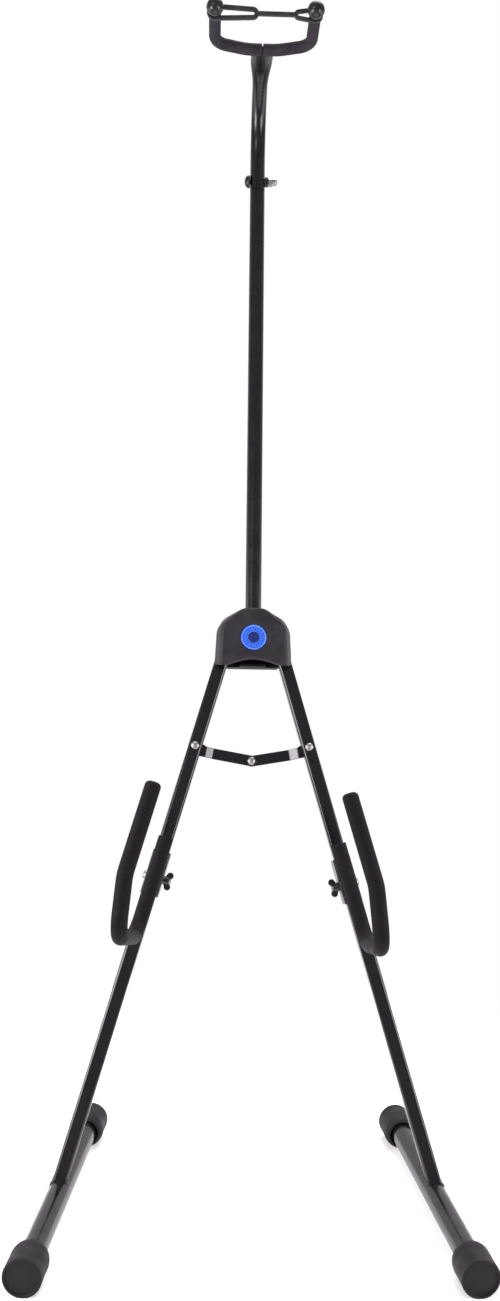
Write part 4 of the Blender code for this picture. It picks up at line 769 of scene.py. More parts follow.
def metal_surface(name, value, rough=(0.22, 0.4)):
    """Plated or plain steel: cloudy plating and fine turning marks."""
    made, nodes, shader, vector = surface(name)
    flow = effect(nodes, "flow", vector, Size=0.0012)
    scuff = effect(nodes, "scuff", vector, Amount=0.8)
    cloud = nodes.ramp(nodes.noise(vector, 420.0, 4.0, 0.65), 0.35, 0.7)
    tone = nodes.mix(cloud, solid(value), solid(value, 0.78))
    tone = nodes.mix(scuff.outputs["Mask"], tone, solid(value, 0.45))
    nodes.tree.links.new(tone, shader.inputs["Base Color"])
    gloss = nodes.ramp(flow.outputs["Haze"], 0.0, 1.0, *rough)
    nodes.tree.links.new(nodes.maths("MULTIPLY_ADD", scuff.outputs["Mask"], 0.2, gloss), shader.inputs["Roughness"])
    shader.inputs["Metallic"].default_value = 1.0
    joint_bump(nodes, shader, flow.outputs["Height"], 0.00001)
    return made


def badge_surface(centre, turned):
    """Blue badge with plain rings and a ring of short dashes, printed under a clear dome."""
    s = sizes("finish")
    made, nodes, shader, vector = surface("badge_blue")
    local = turned.inverted()
    level = nodes.add("ShaderNodeVectorMath", {0: vector, 1: centre}, operation="SUBTRACT")
    flat = nodes.add("ShaderNodeMapping", {"Vector": level.outputs[0], "Rotation": local.to_euler()})
    parts = nodes.add("ShaderNodeSeparateXYZ", {"Vector": flat.outputs["Vector"]})
    across, up = parts.outputs["X"], parts.outputs["Z"]
    reach = nodes.maths("SQRT", nodes.maths("ADD", nodes.maths("POWER", across, 2.0), nodes.maths("POWER", up, 2.0)))
    share = nodes.maths("DIVIDE", reach, sizes("hub").badge_diameter / 2)
    angle = nodes.maths("ARCTAN2", up, across)
    dash = nodes.ramp(nodes.maths("SINE", nodes.maths("MULTIPLY", angle, 22.0)), -0.1, 0.1)

    def band(inner, outer):
        """One inside a ring between two shares of the radius, with soft edges."""
        soft = 0.02
        rising = nodes.ramp(share, inner - soft, inner + soft)
        return nodes.maths("SUBTRACT", rising, nodes.ramp(share, outer - soft, outer + soft))

    tone = nodes.mix(band(-0.1, 0.46), solid(s.badge), solid(s.badge, 0.22))
    tone = nodes.mix(band(0.46, 0.52), tone, solid(s.badge_pale, 0.8))
    tone = nodes.mix(nodes.maths("MULTIPLY", band(0.62, 0.76), dash), tone, solid(s.badge_pale))
    tone = nodes.mix(band(0.86, 0.96), tone, solid(s.badge_pale, 1.1))
    nodes.tree.links.new(tone, shader.inputs["Base Color"])
    shader.inputs["Coat Weight"].default_value = 0.6
    shader.inputs["Coat Roughness"].default_value = 0.08
    flow = effect(nodes, "flow", vector, Size=0.002)
    nodes.tree.links.new(nodes.ramp(flow.outputs["Haze"], 0.0, 1.0, 0.22, 0.34), shader.inputs["Roughness"])
    joint_bump(nodes, shader, flow.outputs["Height"], 0.00001)
    return made


SURFACES = {}


def make_surfaces():
    """Build every finish of the stand once."""
    s = sizes("finish")
    grain = sizes("hub").grain
    SURFACES["enamel"] = enamel_surface("black_enamel", s.enamel)
    SURFACES["satin"] = enamel_surface("satin_enamel", s.enamel, (0.22, 0.33))
    SURFACES["moulded"] = rubber_surface("moulded_black", s.moulded, grain, 0.00008, (0.42, 0.56), 0.05, shine=0.3)
    # The rear shell's material is the moulded black made darker: painted shade for the shade behind the front shell.
    SURFACES["rear"] = rubber_surface("moulded_rear_painted_shade", s.rear, grain, 0.00008, (0.42, 0.56), 0.05, shine=0.2)
    SURFACES["cap"] = rubber_surface("cap_rubber", s.cap, 0.0007, 0.00006, (0.5, 0.68), 0.05, 0.3, 0.2)
    # Same rubber twice: the arm sleeves darker as painted shade, and the yoke sleeves lighter as painted light.
    SURFACES["sleeve"] = rubber_surface("sleeve_rubber", s.sleeve, 0.0009, 0.00008, (0.62, 0.78), 0.03, 0.12, 0.12)
    SURFACES["yoke"] = rubber_surface("yoke_rubber_painted_light", s.yoke, 0.0009, 0.00008, (0.62, 0.78), 0.03, 0.12, 0.12)
    SURFACES["ball"] = rubber_surface("ball_rubber", s.ball, 0.0006, 0.00001, (0.22, 0.32), 0.04)
    SURFACES["strap"] = rubber_surface("strap_rubber", s.strap, 0.0006, 0.00003, (0.42, 0.56), 0.06)
    SURFACES["zinc"] = metal_surface("zinc", s.zinc, (0.36, 0.52))
    SURFACES["steel"] = metal_surface("plain_steel", s.steel, (0.32, 0.5))
    SURFACES["nut"] = enamel_surface("nut_black", s.nut, (0.3, 0.45), 0.00003, 0.04)
    drop = Vector((0.0, 0.0, -sizes("hub").badge_drop))
    SURFACES["badge"] = badge_surface(hub_place() @ drop, hub_place().to_3x3())


# Housing

def hub_outline(share, shrink, bottom):
    """Corners of the housing; share narrows it towards the face and shrink takes off a wall."""
    s = sizes("hub")
    side = s.inset * share + shrink
    drop = s.drop * share
    half = [
        (45.4 * MM - side, bottom),
        (43.4 * MM - side, 10.0 * MM),
        (35.0 * MM - side, 23.5 * MM - drop - shrink / 2),
        (12.0 * MM, 36.2 * MM - drop - shrink),
    ]
    return half + [(-x, z) for x, z in half[::-1]]


def hub_form(direction, depth, outer_bottom, shrink=0.0):
    """Drawn-in body of one shell, from the meeting plane to a softly rounded face."""
    s = sizes("hub")
    inner_bottom = -30.0 * MM
    reach = depth - shrink
    edge = s.edge
    levels = [(-2.0 * MM if shrink else GAP / 2, 0.0), (s.straight, 0.0), (reach - edge, 0.42)]
    for angle in range(15, 91, 15):
        turned = math.radians(angle)
        levels.append((reach - edge + edge * math.sin(turned), 0.42 + 0.58 * (1 - math.cos(turned)) ** 0.8))
    bm = bmesh.new()
    face = None
    for y, share in levels:
        bottom = inner_bottom + (outer_bottom - inner_bottom) * y / depth
        if shrink:
            bottom = outer_bottom - 4.0 * MM
        outline = hub_outline(share, shrink, bottom)
        if face is None:
            face = bm.faces.new([bm.verts.new((x, direction * y, z)) for x, z in outline])
        else:
            made = bmesh.ops.extrude_discrete_faces(bm, faces=[face])
            face = made["faces"][0]
            for vert, (x, z) in zip(face.verts, outline):
                vert.co = (x, direction * y, z)
    bmesh.ops.holes_fill(bm, edges=[edge for edge in bm.edges if edge.is_boundary], sides=0)
    bmesh.ops.remove_doubles(bm, verts=bm.verts, dist=1e-6)
    bmesh.ops.recalc_face_normals(bm, faces=bm.faces)
    lengthwise = []
    for edge in bm.edges:
        a, b = (vert.co for vert in edge.verts)
        if abs(a.y - b.y) > 1e-5 and min(a.z, b.z) > 0.0:
            lengthwise.append(edge)
    bmesh.ops.bevel(
        bm, geom=lengthwise, offset=s.corner, offset_type="OFFSET", segments=6, profile=0.5,
        affect="EDGES", clamp_overlap=True, material=-1,
    )
    return bm


def leg_room(side):
    """Room for a leg in the walls of the housing."""
    half = sizes("frame").leg_width / 2 + 0.6 * MM
    slot = box((-half, -half, -4 * sizes("frame").leg_width), (half, half, 0.0))
    turned = Matrix.Rotation(-side * math.radians(16.05), 4, "Y")
    bmesh.ops.transform(slot, matrix=Matrix.Translation((side * hub_half(), 0, 0)) @ turned, verts=slot.verts)
    return slot


def screw_places():
    """Name and place of each housing screw."""
    places = []
    for level, across, up in (("upper", 18.5, 21.5), ("lower", 15.0, -16.2)):
        for word, side in SIDES:
            places.append((f"hub_screw_{level}_{word}", (side * across * MM, 0.0, up * MM)))
    return places


def arch_room():
    """The arch below the front face, wider towards the front."""
    s = sizes("hub")
    steps = 24
    bm = bmesh.new()
    face = None
    for y, spread in ((-s.front_depth - 4 * MM, 9.0 * MM), (-s.front_depth + 5 * MM, 0.0), (6 * MM, 0.0)):
        outline = []
        for k in range(steps + 1):
            t = -1 + 2 * k / steps
            rise = s.arch_rise * (1 - t * t) + spread * (1 - abs(t))
            outline.append((t * (s.arch_half + spread), y, -36.0 * MM + rise))
        outline += [(s.arch_half + spread, y, -42 * MM), (-s.arch_half - spread, y, -42 * MM)]
        if face is None:
            face = bm.faces.new([bm.verts.new(point) for point in outline])
        else:
            face = bmesh.ops.extrude_discrete_faces(bm, faces=[face])["faces"][0]
            for vert, point in zip(face.verts, outline):
                vert.co = point
    bmesh.ops.holes_fill(bm, edges=[edge for edge in bm.edges if edge.is_boundary], sides=0)
    bmesh.ops.remove_doubles(bm, verts=bm.verts, dist=1e-6)
    bmesh.ops.recalc_face_normals(bm, faces=bm.faces)
    return bm


class STAND_OT_hub_shells(Operator):
    """Make the front and rear shells of the moulded housing"""
    bl_idname = "stand.hub_shells"
    bl_label = "Hub Shells"

    def execute(self, context):
        s = sizes("hub")
        mast = sizes("frame").mast_diameter / 2 + GAP
        y = (0, 1, 0)
        shared = lambda: [bar(mast, 0.0, 0.05), leg_room(-1), leg_room(1)]
        front = hub_form(-1, s.front_depth, -36.0 * MM)
        recess = bar(s.badge_diameter / 2 + GAP, -s.front_depth - 4 * MM, -s.front_depth + 1.0 * MM, y)
        room = hub_form(-1, s.front_depth, -36.0 * MM, s.wall)
        front = cut(front, room, moved(recess, (0, 0, -s.badge_drop)), *shared(), arch_room())
        posts = [moved(bar(3.6 * MM, -s.front_depth + 1.2 * MM, -GAP / 2, y, 24), spot) for _, spot in screw_places()]
        front = joined(front, *posts)
        place = hub_place()
        piece("front_shell", front, place, "frame", ["hub_front_shell"], SURFACES["moulded"])
        rear = hub_form(1, s.rear_depth, -30.0 * MM)
        rear = cut(rear, hub_form(1, s.rear_depth, -30.0 * MM, s.wall), *shared())
        low, high = 9.15 * MM, s.rear_depth - GAP
        ledge = bean([(-28.75 * MM, -29.75 * MM, 2.25 * MM), (28.75 * MM, -29.75 * MM, 2.25 * MM)], low, high)
        tab = eased(box((-16 * MM, low - 5 * MM, -31.7 * MM), (16 * MM, low + 2.5 * MM, -27.8 * MM)), 0.8 * MM)
        posts = [moved(bar(4.7 * MM, GAP / 2, s.rear_depth - 1.2 * MM, y, 24), spot) for _, spot in screw_places()]
        rear = joined(rear, ledge, tab, *posts)
        bores = []
        for _, spot in screw_places():
            bores.append(moved(bar(3.6 * MM, s.rear_depth - 2.9 * MM, s.rear_depth + 4 * MM, y, 32), spot))
            bores.append(moved(bar(2.05 * MM, -2 * MM, s.rear_depth, y, 24), spot))
        rear = cut(rear, *bores)
        # The rear shell takes the darker moulded material, which is painted shade for the shade behind the front shell.
        piece("rear_shell", rear, place, "frame", ["hub_rear_shell"], SURFACES["rear"])
        return {"FINISHED"}


class STAND_OT_badge(Operator):
    """Make the round badge in the front shell"""
    bl_idname = "stand.badge"
    bl_label = "Badge"

    def execute(self, context):
        s = sizes("hub")
        radius = s.badge_diameter / 2
        back_face = s.front_depth - 1.0 * MM + GAP
        face = back_face + s.badge_thickness
        profile = [(0.0, back_face), (radius, back_face)]
        profile += arc((radius - 0.6 * MM, face - 0.6 * MM), (0.6 * MM, 0.6 * MM), 0, 90, 5)
        profile += [(radius - 1.3 * MM, face), (radius - 1.6 * MM, face - 0.3 * MM)]
        profile += [(radius * 0.6, face - 0.2 * MM), (radius * 0.3, face - 0.1 * MM), (0.0, face - 0.08 * MM)]
        solid_badge = moved(along(lathe(profile, 72), (0, -1, 0)), (0, 0, -s.badge_drop))
        piece("badge", solid_badge, hub_place(), "frame", ["hub_badge"], SURFACES["badge"])
        return {"FINISHED"}


class STAND_OT_hub_screws(Operator):
    """Make the four cross-head screws of the housing"""
    bl_idname = "stand.hub_screws"
    bl_label = "Hub Screws"

    def execute(self, context):
        seat = sizes("hub").rear_depth - 2.6 * MM
        for name, spot in screw_places():
            profile = [(0.0, seat - 30 * MM), (0.9 * MM, seat - 30 * MM), (1.75 * MM, seat - 28.2 * MM)]
            profile += [(1.75 * MM, seat), (3.3 * MM, seat)]
            profile += arc((2.1 * MM, seat + 1.1 * MM), (1.2 * MM, 1.1 * MM), 0, 90, 6) + [(0.0, seat + 2.25 * MM)]
            screw = along(lathe(profile, 32), (0, 1, 0))
            wide, narrow, deep = 1.9 * MM, 0.42 * MM, 1.3 * MM
            high = seat + 3.5 * MM
            recess = [
                box((-wide, seat + deep, -narrow), (wide, high, narrow)),
                box((-narrow, seat + deep, -wide), (narrow, high, wide)),
            ]
            screw = moved(cut(screw, *recess), spot)
            piece(f"{name}_detail", screw, hub_place(), "frame", [name], SURFACES["steel"])
        return {"FINISHED"}


# Mast and neck

def tube(outer, wall, low, high, axis=(0, 0, 1), lip=0.35 * MM):
    """A tube with softened ends."""
    inner = outer - wall
    profile = [(inner, low), (outer - lip, low), (outer, low + lip), (outer, high - lip), (outer - lip, high), (inner, high)]
    return along(lathe(profile, closed=True), axis)


def flattened(bm, inset):
    """Press a bent tube flat towards its front end."""
    s = sizes("frame")
    radius = s.mast_diameter / 2 - inset
    for vert in bm.verts:
        depth, up = vert.co.y + s.neck_radius, vert.co.z - s.neck_straight
        turned = math.atan2(up, depth)
        if up < 0.0:
            continue
        past = max(0.0, turned - s.neck_bend)
        if past > 0.0:
            heading = Vector((0.0, -math.sin(s.neck_bend), math.cos(s.neck_bend)))
            outward = Vector((0.0, math.cos(s.neck_bend), math.sin(s.neck_bend)))
            middle = Vector((0.0, -s.neck_radius, s.neck_straight)) + outward * s.neck_radius
            run = (vert.co - middle).dot(heading)
            middle = middle + heading * run
            share = 1.0
        else:
            outward = Vector((0.0, math.cos(turned), math.sin(turned)))
            middle = Vector((0.0, -s.neck_radius, s.neck_straight)) + outward * s.neck_radius
            share = max(0.0, 1.0 - (s.neck_bend - turned) / s.flatten_bend)
        share = share * share * (3 - 2 * share)
        across = vert.co.x / radius
        tall = (vert.co - middle).dot(outward) / radius
        reach = math.hypot(across, tall) or 1.0
        power = 1.0 - 0.45 * share
        wide = radius + (s.neck_end_width / 2 - inset - radius) * share
        deep = radius + (s.neck_end_thickness / 2 - inset - radius) * share
        across = math.copysign(abs(across / reach) ** power, across) * reach * wide
        tall = math.copysign(abs(tall / reach) ** power, tall) * reach * deep
        vert.co = middle + outward * tall
        vert.co.x = across
    return bm


class STAND_OT_mast(Operator):
    """Make the mast tube"""
    bl_idname = "stand.mast"
    bl_label = "Mast"

    def execute(self, context):
        s = sizes("frame")
        mast = tube(s.mast_diameter / 2, s.mast_wall, -s.mast_below, s.mast_above - GAP / 2)
        bores = []
        for up in (-5.0, 15.0):
            bores.append(moved(bar(2.8 * MM, -0.02, 0.02, (0, 1, 0), 24), (0, 0, up * MM)))
        piece("mast", cut(mast, *bores), hub_place(), "frame", ["mast_tube"], SURFACES["satin"])
        return {"FINISHED"}


class STAND_OT_neck(Operator):
    """Make the bent neck whose front end is pressed flat"""
    bl_idname = "stand.neck"
    bl_label = "Neck"

    def execute(self, context):
        s = sizes("frame")
        corners = neck_corners()
        heading = (corners[-1] - corners[-2]).normalized()
        corners[-1] = corners[-1] - heading * (sizes("yoke").rod / 2 + GAP)
        outside = flattened(swept(s.mast_diameter / 2, corners, [s.neck_radius], math.radians(3)), 0.0)
        inner = [corners[0] - Vector((0, 0, 2 * MM)), corners[1], corners[2] - heading * 2 * MM]
        inside = swept(s.mast_diameter / 2 - s.mast_wall, inner, [s.neck_radius], math.radians(3))
        bolt = moved(bar(3.3 * MM, -0.02, 0.02, (1, 0, 0), 24), (0, 0, 14.5 * MM))
        neck = cut(outside, flattened(inside, s.mast_wall), bolt)
        piece("neck", neck, seam_place(), "frame", ["neck_tube"], SURFACES["satin"])
        return {"FINISHED"}


class STAND_OT_neck_bolt(Operator):
    """Make the cross bolt of the neck with its washer and dome nut"""
    bl_idname = "stand.neck_bolt"
    bl_label = "Neck Bolt"

    def execute(self, context):
        s = sizes("frame")
        place = seam_place() @ Matrix.Translation((0, 0, 14.5 * MM))
        skin_radius = s.mast_diameter / 2
        seat = skin_radius + GAP
        washer_end = skin_radius + 4.4 * MM
        nut_start = washer_end + GAP
        bolt_end = nut_start + 7.0 * MM
        profile = [(0.0, -bolt_end), (2.2 * MM, -bolt_end), (3.0 * MM, -bolt_end + 1.0 * MM), (3.0 * MM, seat)]
        profile += [(8.0 * MM, seat), (8.25 * MM, seat + 0.3 * MM)]
        profile += arc((0.0, seat + 1.0 * MM), (8.2 * MM, 6.0 * MM), 0, 90, 12)
        bolt = along(lathe(profile), (-1, 0, 0))
        piece("neck_bolt_detail", bolt, place, "frame", ["neck_bolt"], SURFACES["nut"])
        ring = [(3.3 * MM, 0.6 * skin_radius), (6.35 * MM, 0.6 * skin_radius)]
        ring += arc((5.75 * MM, washer_end - 0.6 * MM), (0.6 * MM, 0.6 * MM), 0, 90, 4) + [(3.3 * MM, washer_end)]
        washer = cut(along(lathe(ring, closed=True), (1, 0, 0)), bar(seat, -0.02, 0.02))
        piece("neck_washer_detail", washer, place, "frame", ["neck_washer"], SURFACES["nut"])
        flats = 10.0 * MM
        bm = bmesh.new()
        for height in (0.0, 5.0 * MM):
            bmesh.ops.create_circle(
                bm, cap_ends=False, radius=flats / math.sqrt(3), segments=6, matrix=Matrix.Translation((0, 0, height))
            )
        bmesh.ops.convex_hull(bm, input=bm.verts)
        bmesh.ops.dissolve_limit(bm, angle_limit=0.01, verts=bm.verts, edges=bm.edges)
        cone = lathe([(0, 0), (5.0 * MM, 0), (6.2 * MM, 1.0 * MM), (6.2 * MM, 4.2 * MM), (4.9 * MM, 5.0 * MM), (0, 5.0 * MM)])
        nut = solved(bm, [("INTERSECT", cone)])
        dome = lathe([(0, 4.0 * MM), (4.6 * MM, 4.0 * MM), (4.6 * MM, 6.8 * MM)]
                     + arc((0.0, 7.0 * MM), (4.6 * MM, 4.7 * MM), 0, 90, 12))
        nut = cut(joined(nut, dome), bar(3.3 * MM, -1 * MM, 7.6 * MM, segments=24))
        nut = moved(along(nut, (1, 0, 0)), (nut_start, 0, 0))
        piece("neck_nut_detail", nut, place, "neck_nut", ["neck_nut"], SURFACES["zinc"])
        return {"FINISHED"}


# Yoke

def yoke_corners(side):
    """Corners of one half of the yoke's middle line, out from the middle."""
    s = sizes("yoke")
    return [
        Vector((side * s.notch, 0, 0)),
        Vector((side * 18.85 * MM, 0, 0)),
        Vector((side * s.half_width, -s.shoulder, 0)),
        Vector((side * s.half_width, -s.reach, 0)),
    ]


def strap_depth():
    """How far forward the strap lies on the arms of the yoke."""
    s = sizes("yoke")
    return s.reach - s.ball / 2 - s.strap_thickness / 2 + 1.2 * MM


class STAND_OT_yoke_sleeves(Operator):
    """Make the two padded sleeves of the yoke"""
    bl_idname = "stand.yoke_sleeves"
    bl_label = "Yoke Sleeves"

    def execute(self, context):
        s = sizes("yoke")
        half_wide = sizes("frame").neck_end_width / 2 + GAP
        half_tall = sizes("frame").neck_end_thickness / 2 + GAP
        turned = Matrix.Rotation(s.tilt, 4, "X")
        for word, side in SIDES:
            corners = yoke_corners(side)
            corners[-1].y = -(strap_depth() - s.strap_thickness / 2 - GAP)
            sleeve = swept(s.sleeve / 2, corners, [s.shallow, s.corner], math.radians(4))
            sleeve = eased(sleeve, 0.9 * MM, 3, 60)
            bore = swept(s.rod / 2 + GAP, [corners[0] - Vector((side * 4 * MM, 0, 0)), *corners[1:3],
                         corners[3] - Vector((0, 4 * MM, 0))], [s.shallow, s.corner], math.radians(4), 24)
            slot = box((-half_wide, 0.0, -half_tall), (half_wide, s.sleeve, half_tall))
            bmesh.ops.transform(slot, matrix=turned, verts=slot.verts)
            piece(
                f"yoke_sleeve_{word}_detail", cut(sleeve, bore, slot), yoke_place(), "frame",
                [f"yoke_sleeve_{word}"], SURFACES["yoke"],
            )
        return {"FINISHED"}


class STAND_OT_yoke_balls(Operator):
    """Make the two rubber balls at the ends of the yoke"""
    bl_idname = "stand.yoke_balls"
    bl_label = "Yoke Balls"

    def execute(self, context):
        s = sizes("yoke")
        radius = s.ball / 2
        bore = s.rod / 2 + GAP
        mouth = math.sqrt(radius ** 2 - (bore + 0.8 * MM) ** 2)
        low = math.degrees(math.asin(mouth / radius))
        for word, side in SIDES:
            profile = [(0.0, 3.3 * MM), (bore, 3.3 * MM), (bore, -mouth)]
            profile += arc((0.0, 0.0), (radius, radius), -low, -2.5, 14)
            profile += [(radius + 0.15 * MM, -0.25 * MM), (radius + 0.15 * MM, 0.25 * MM)]
            profile += arc((0.0, 0.0), (radius, radius), 2.5, 90, 18)
            ball = moved(along(lathe(profile, 56), (0, -1, 0)), (side * s.half_width, -s.reach, 0))
            piece(
                f"yoke_ball_{word}_detail", ball, yoke_place(), "frame",
                [f"yoke_ball_{word}"], SURFACES["ball"],
            )
        return {"FINISHED"}


class STAND_OT_strap(Operator):
    """Make the rubber strap with its long slot and its small eye"""
    bl_idname = "stand.strap"
    bl_label = "Strap"

    def execute(self, context):
        s = sizes("yoke")
        half = s.strap_thickness / 2
        rod = s.rod / 2 + GAP
        x = s.half_width

        def end(side, reach, height, grow, spare=0.0):
            """One end of the strap or the slot in it."""
            far = side * (x - reach + height / 2)
            return bean([(side * x, 0, rod + grow), (far, 0, height / 2 + grow)], -half - spare, half + spare)

        strand = s.strand / 2
        middle = box((-x + s.slot_length + strand, -half, -strand), (x - s.eye_length - strand, half, strand))
        strap = joined(end(-1, s.slot_length, 5.4 * MM, s.strand), end(1, s.eye_length, 3.8 * MM, s.strand * 0.9), middle)
        strap = cut(
            strap, end(-1, s.slot_length, 5.4 * MM, 0.0, 2 * MM), end(1, s.eye_length, 3.8 * MM, 0.0, 2 * MM)
        )
        bmesh.ops.dissolve_limit(strap, angle_limit=math.radians(1), verts=strap.verts, edges=strap.edges)
        strap = eased(strap, 0.7 * MM, 3, 60)
        strap = moved(strap, (0, -strap_depth(), 0))
        piece("strap", strap, yoke_place(), "frame", ["retaining_strap"], SURFACES["strap"])
        return {"FINISHED"}


# Legs and feet

def weld(half, radius, centre, axis):
    """A bead round the leg's end, where it meets the round foot tube."""
    width, height = 1.7 * MM, 1.9 * MM
    reach = half + width
    upright = lambda edge: abs(edge.verts[0].co.z - edge.verts[1].co.z) > 1 * MM
    block = box((-reach, -reach, centre.z), (reach, reach, centre.z + 3 * radius))
    block = eased(block, sizes("frame").leg_corner + width / 2, 5, 50, upright)
    around = moved(bar(radius + height, -0.04, 0.04, axis), centre)
    inside = moved(bar(radius, -0.05, 0.05, axis), centre)
    return eased(solved(block, [("INTERSECT", around), ("DIFFERENCE", inside)]), 0.8 * MM, 3, 50)


class STAND_OT_legs(Operator):
    """Make the two square legs"""
    bl_idname = "stand.legs"
    bl_label = "Legs"

    def execute(self, context):
        s = sizes("frame")
        brace = sizes("brace")
        foot = sizes("foot")
        half = s.leg_width / 2
        y = (0, 1, 0)
        for word, side in SIDES:
            place = leg_place(word)
            leg = box((-half, -half, -s.leg_length - foot.tube / 3), (half, half, s.leg_top))
            upright = lambda edge: abs(edge.verts[0].co.z - edge.verts[1].co.z) > 0.1
            leg = eased(leg, s.leg_corner, 5, 50, upright)
            foot_in_leg = place.inverted() @ foot_place(word, side)
            axis = (foot_in_leg.to_3x3() @ Vector((0, 1, 0))).normalized()
            radius = foot.tube / 2 + 0.05 * MM
            cope = bar(radius, -0.04, 0.04, axis)
            bmesh.ops.translate(cope, verts=cope.verts, vec=foot_in_leg.translation)
            bores = [
                bar(4.3 * MM, -0.02, 0.02, y, 32),
                moved(bar(2.8 * MM, -0.02, 0.02, y, 24), (0, 0, -brace.drop)),
                box((-half + 1.5 * MM, -half + 1.5 * MM, -0.02), (half - 1.5 * MM, half - 1.5 * MM, 0.03)),
            ]
            bead = weld(half, radius, foot_in_leg.translation, axis)
            leg = joined(cut(leg, cope), bead)
            leg = cut(leg, *bores)
            piece(f"{word}_leg_tube", leg, place, f"{word}_leg", [f"{word}_leg"], SURFACES["enamel"])
        return {"FINISHED"}


def cap_profile():
    """Outline of a foot cap from its bore to the dished end face."""
    s = sizes("foot")
    bore = s.tube / 2 + GAP
    radius = s.cap / 2
    mouth = s.mouth / 2
    end = s.cap_length
    profile = [(0.0, end - s.end_wall), (bore, end - s.end_wall), (bore, 5.0 * MM), (mouth - 1.2 * MM, 4.0 * MM)]
    profile += [(mouth - 0.8 * MM, 0.3 * MM), (mouth - 0.5 * MM, 0.0), (mouth - 0.2 * MM, 0.2 * MM)]
    profile += arc((mouth, s.shoulder), (radius - mouth, s.shoulder), -88, 0, 12)
    profile += [(radius - 0.25 * MM, end * 0.5), (radius - 0.1 * MM, end * 0.8)]
    profile += arc((radius - 1.8 * MM, end - 1.8 * MM), (1.8 * MM, 1.8 * MM), 0, 90, 6)
    profile += [(radius - 2.4 * MM, end), (radius - 2.9 * MM, end - 0.4 * MM), (radius - 3.2 * MM, end - 1.5 * MM)]
    profile += [(radius - 3.7 * MM, end - 1.8 * MM), (radius * 0.5, end - 1.6 * MM), (0.0, end - 1.5 * MM)]
    return profile


class STAND_OT_feet(Operator):
    """Make the foot tubes and their rubber caps"""
    bl_idname = "stand.feet"
    bl_label = "Feet"

    def execute(self, context):
        s = sizes("foot")
        axis_height = math.sqrt((s.cap / 2) ** 2 - (s.flat / 2) ** 2)
        for word, side in SIDES:
            place = foot_place(word, side)
            body = f"{word}_leg"
            inset = s.end_wall + GAP
            foot = tube(s.tube / 2, s.wall, -s.front + inset, s.rear - inset, (0, 1, 0))
            piece(f"{word}_foot", foot, place, body, [f"{word}_foot_tube"], SURFACES["enamel"])
            for end, direction, reach in (("front", -1, s.front), ("rear", 1, s.rear)):
                cap = moved(along(lathe(cap_profile(), 64), (0, direction, 0)), (0, direction * (reach - s.cap_length), 0))
                made = bmesh.ops.bisect_plane(
                    cap, geom=cap.verts[:] + cap.edges[:] + cap.faces[:], dist=1e-6,
                    plane_co=(0, 0, -axis_height), plane_no=(0, 0, -1), clear_outer=True,
                )
                rim = [item for item in made["geom_cut"] if isinstance(item, bmesh.types.BMEdge)]
                bmesh.ops.holes_fill(cap, edges=rim, sides=0)
                name = f"{word}_{end}_cap"
                piece(f"{name}_detail", cap, place, body, [name], SURFACES["cap"])
        return {"FINISHED"}


# Brace

def dome_head(radius, height, seat, shank, low):
    """Profile of a domed rivet from its blind end up to the crown."""
    profile = [(0.0, low), (shank, low), (shank, seat), (radius - 0.3 * MM, seat), (radius, seat + 0.35 * MM)]
    return profile + arc((0.0, seat + 0.5 * MM), (radius, height - 0.5 * MM), 0, 90, 12)


def link_step(x, side):
    """How far the strip has stepped back at a distance from the leg."""
    s = sizes("brace")
    share = min(1.0, max(0.0, (x - s.step_start) / s.step_length))
    extra = 0.0 if side < 0 else s.thickness + GAP
    soft = 0.12
    if share < soft:
        share = share * share / (2 * soft)
    elif share < 1.0 - soft:
        share = share - soft / 2
    else:
        share = 1.0 - soft - (1.0 - share) ** 2 / (2 * soft)
    return (s.step_depth + extra) * share / (1.0 - soft)


def link_back(side):
    """Middle of the strip's thickness at the centre rivet."""
    s = sizes("brace")
    return sizes("frame").leg_width / 2 + GAP + s.thickness / 2 + link_step(1.0, side)


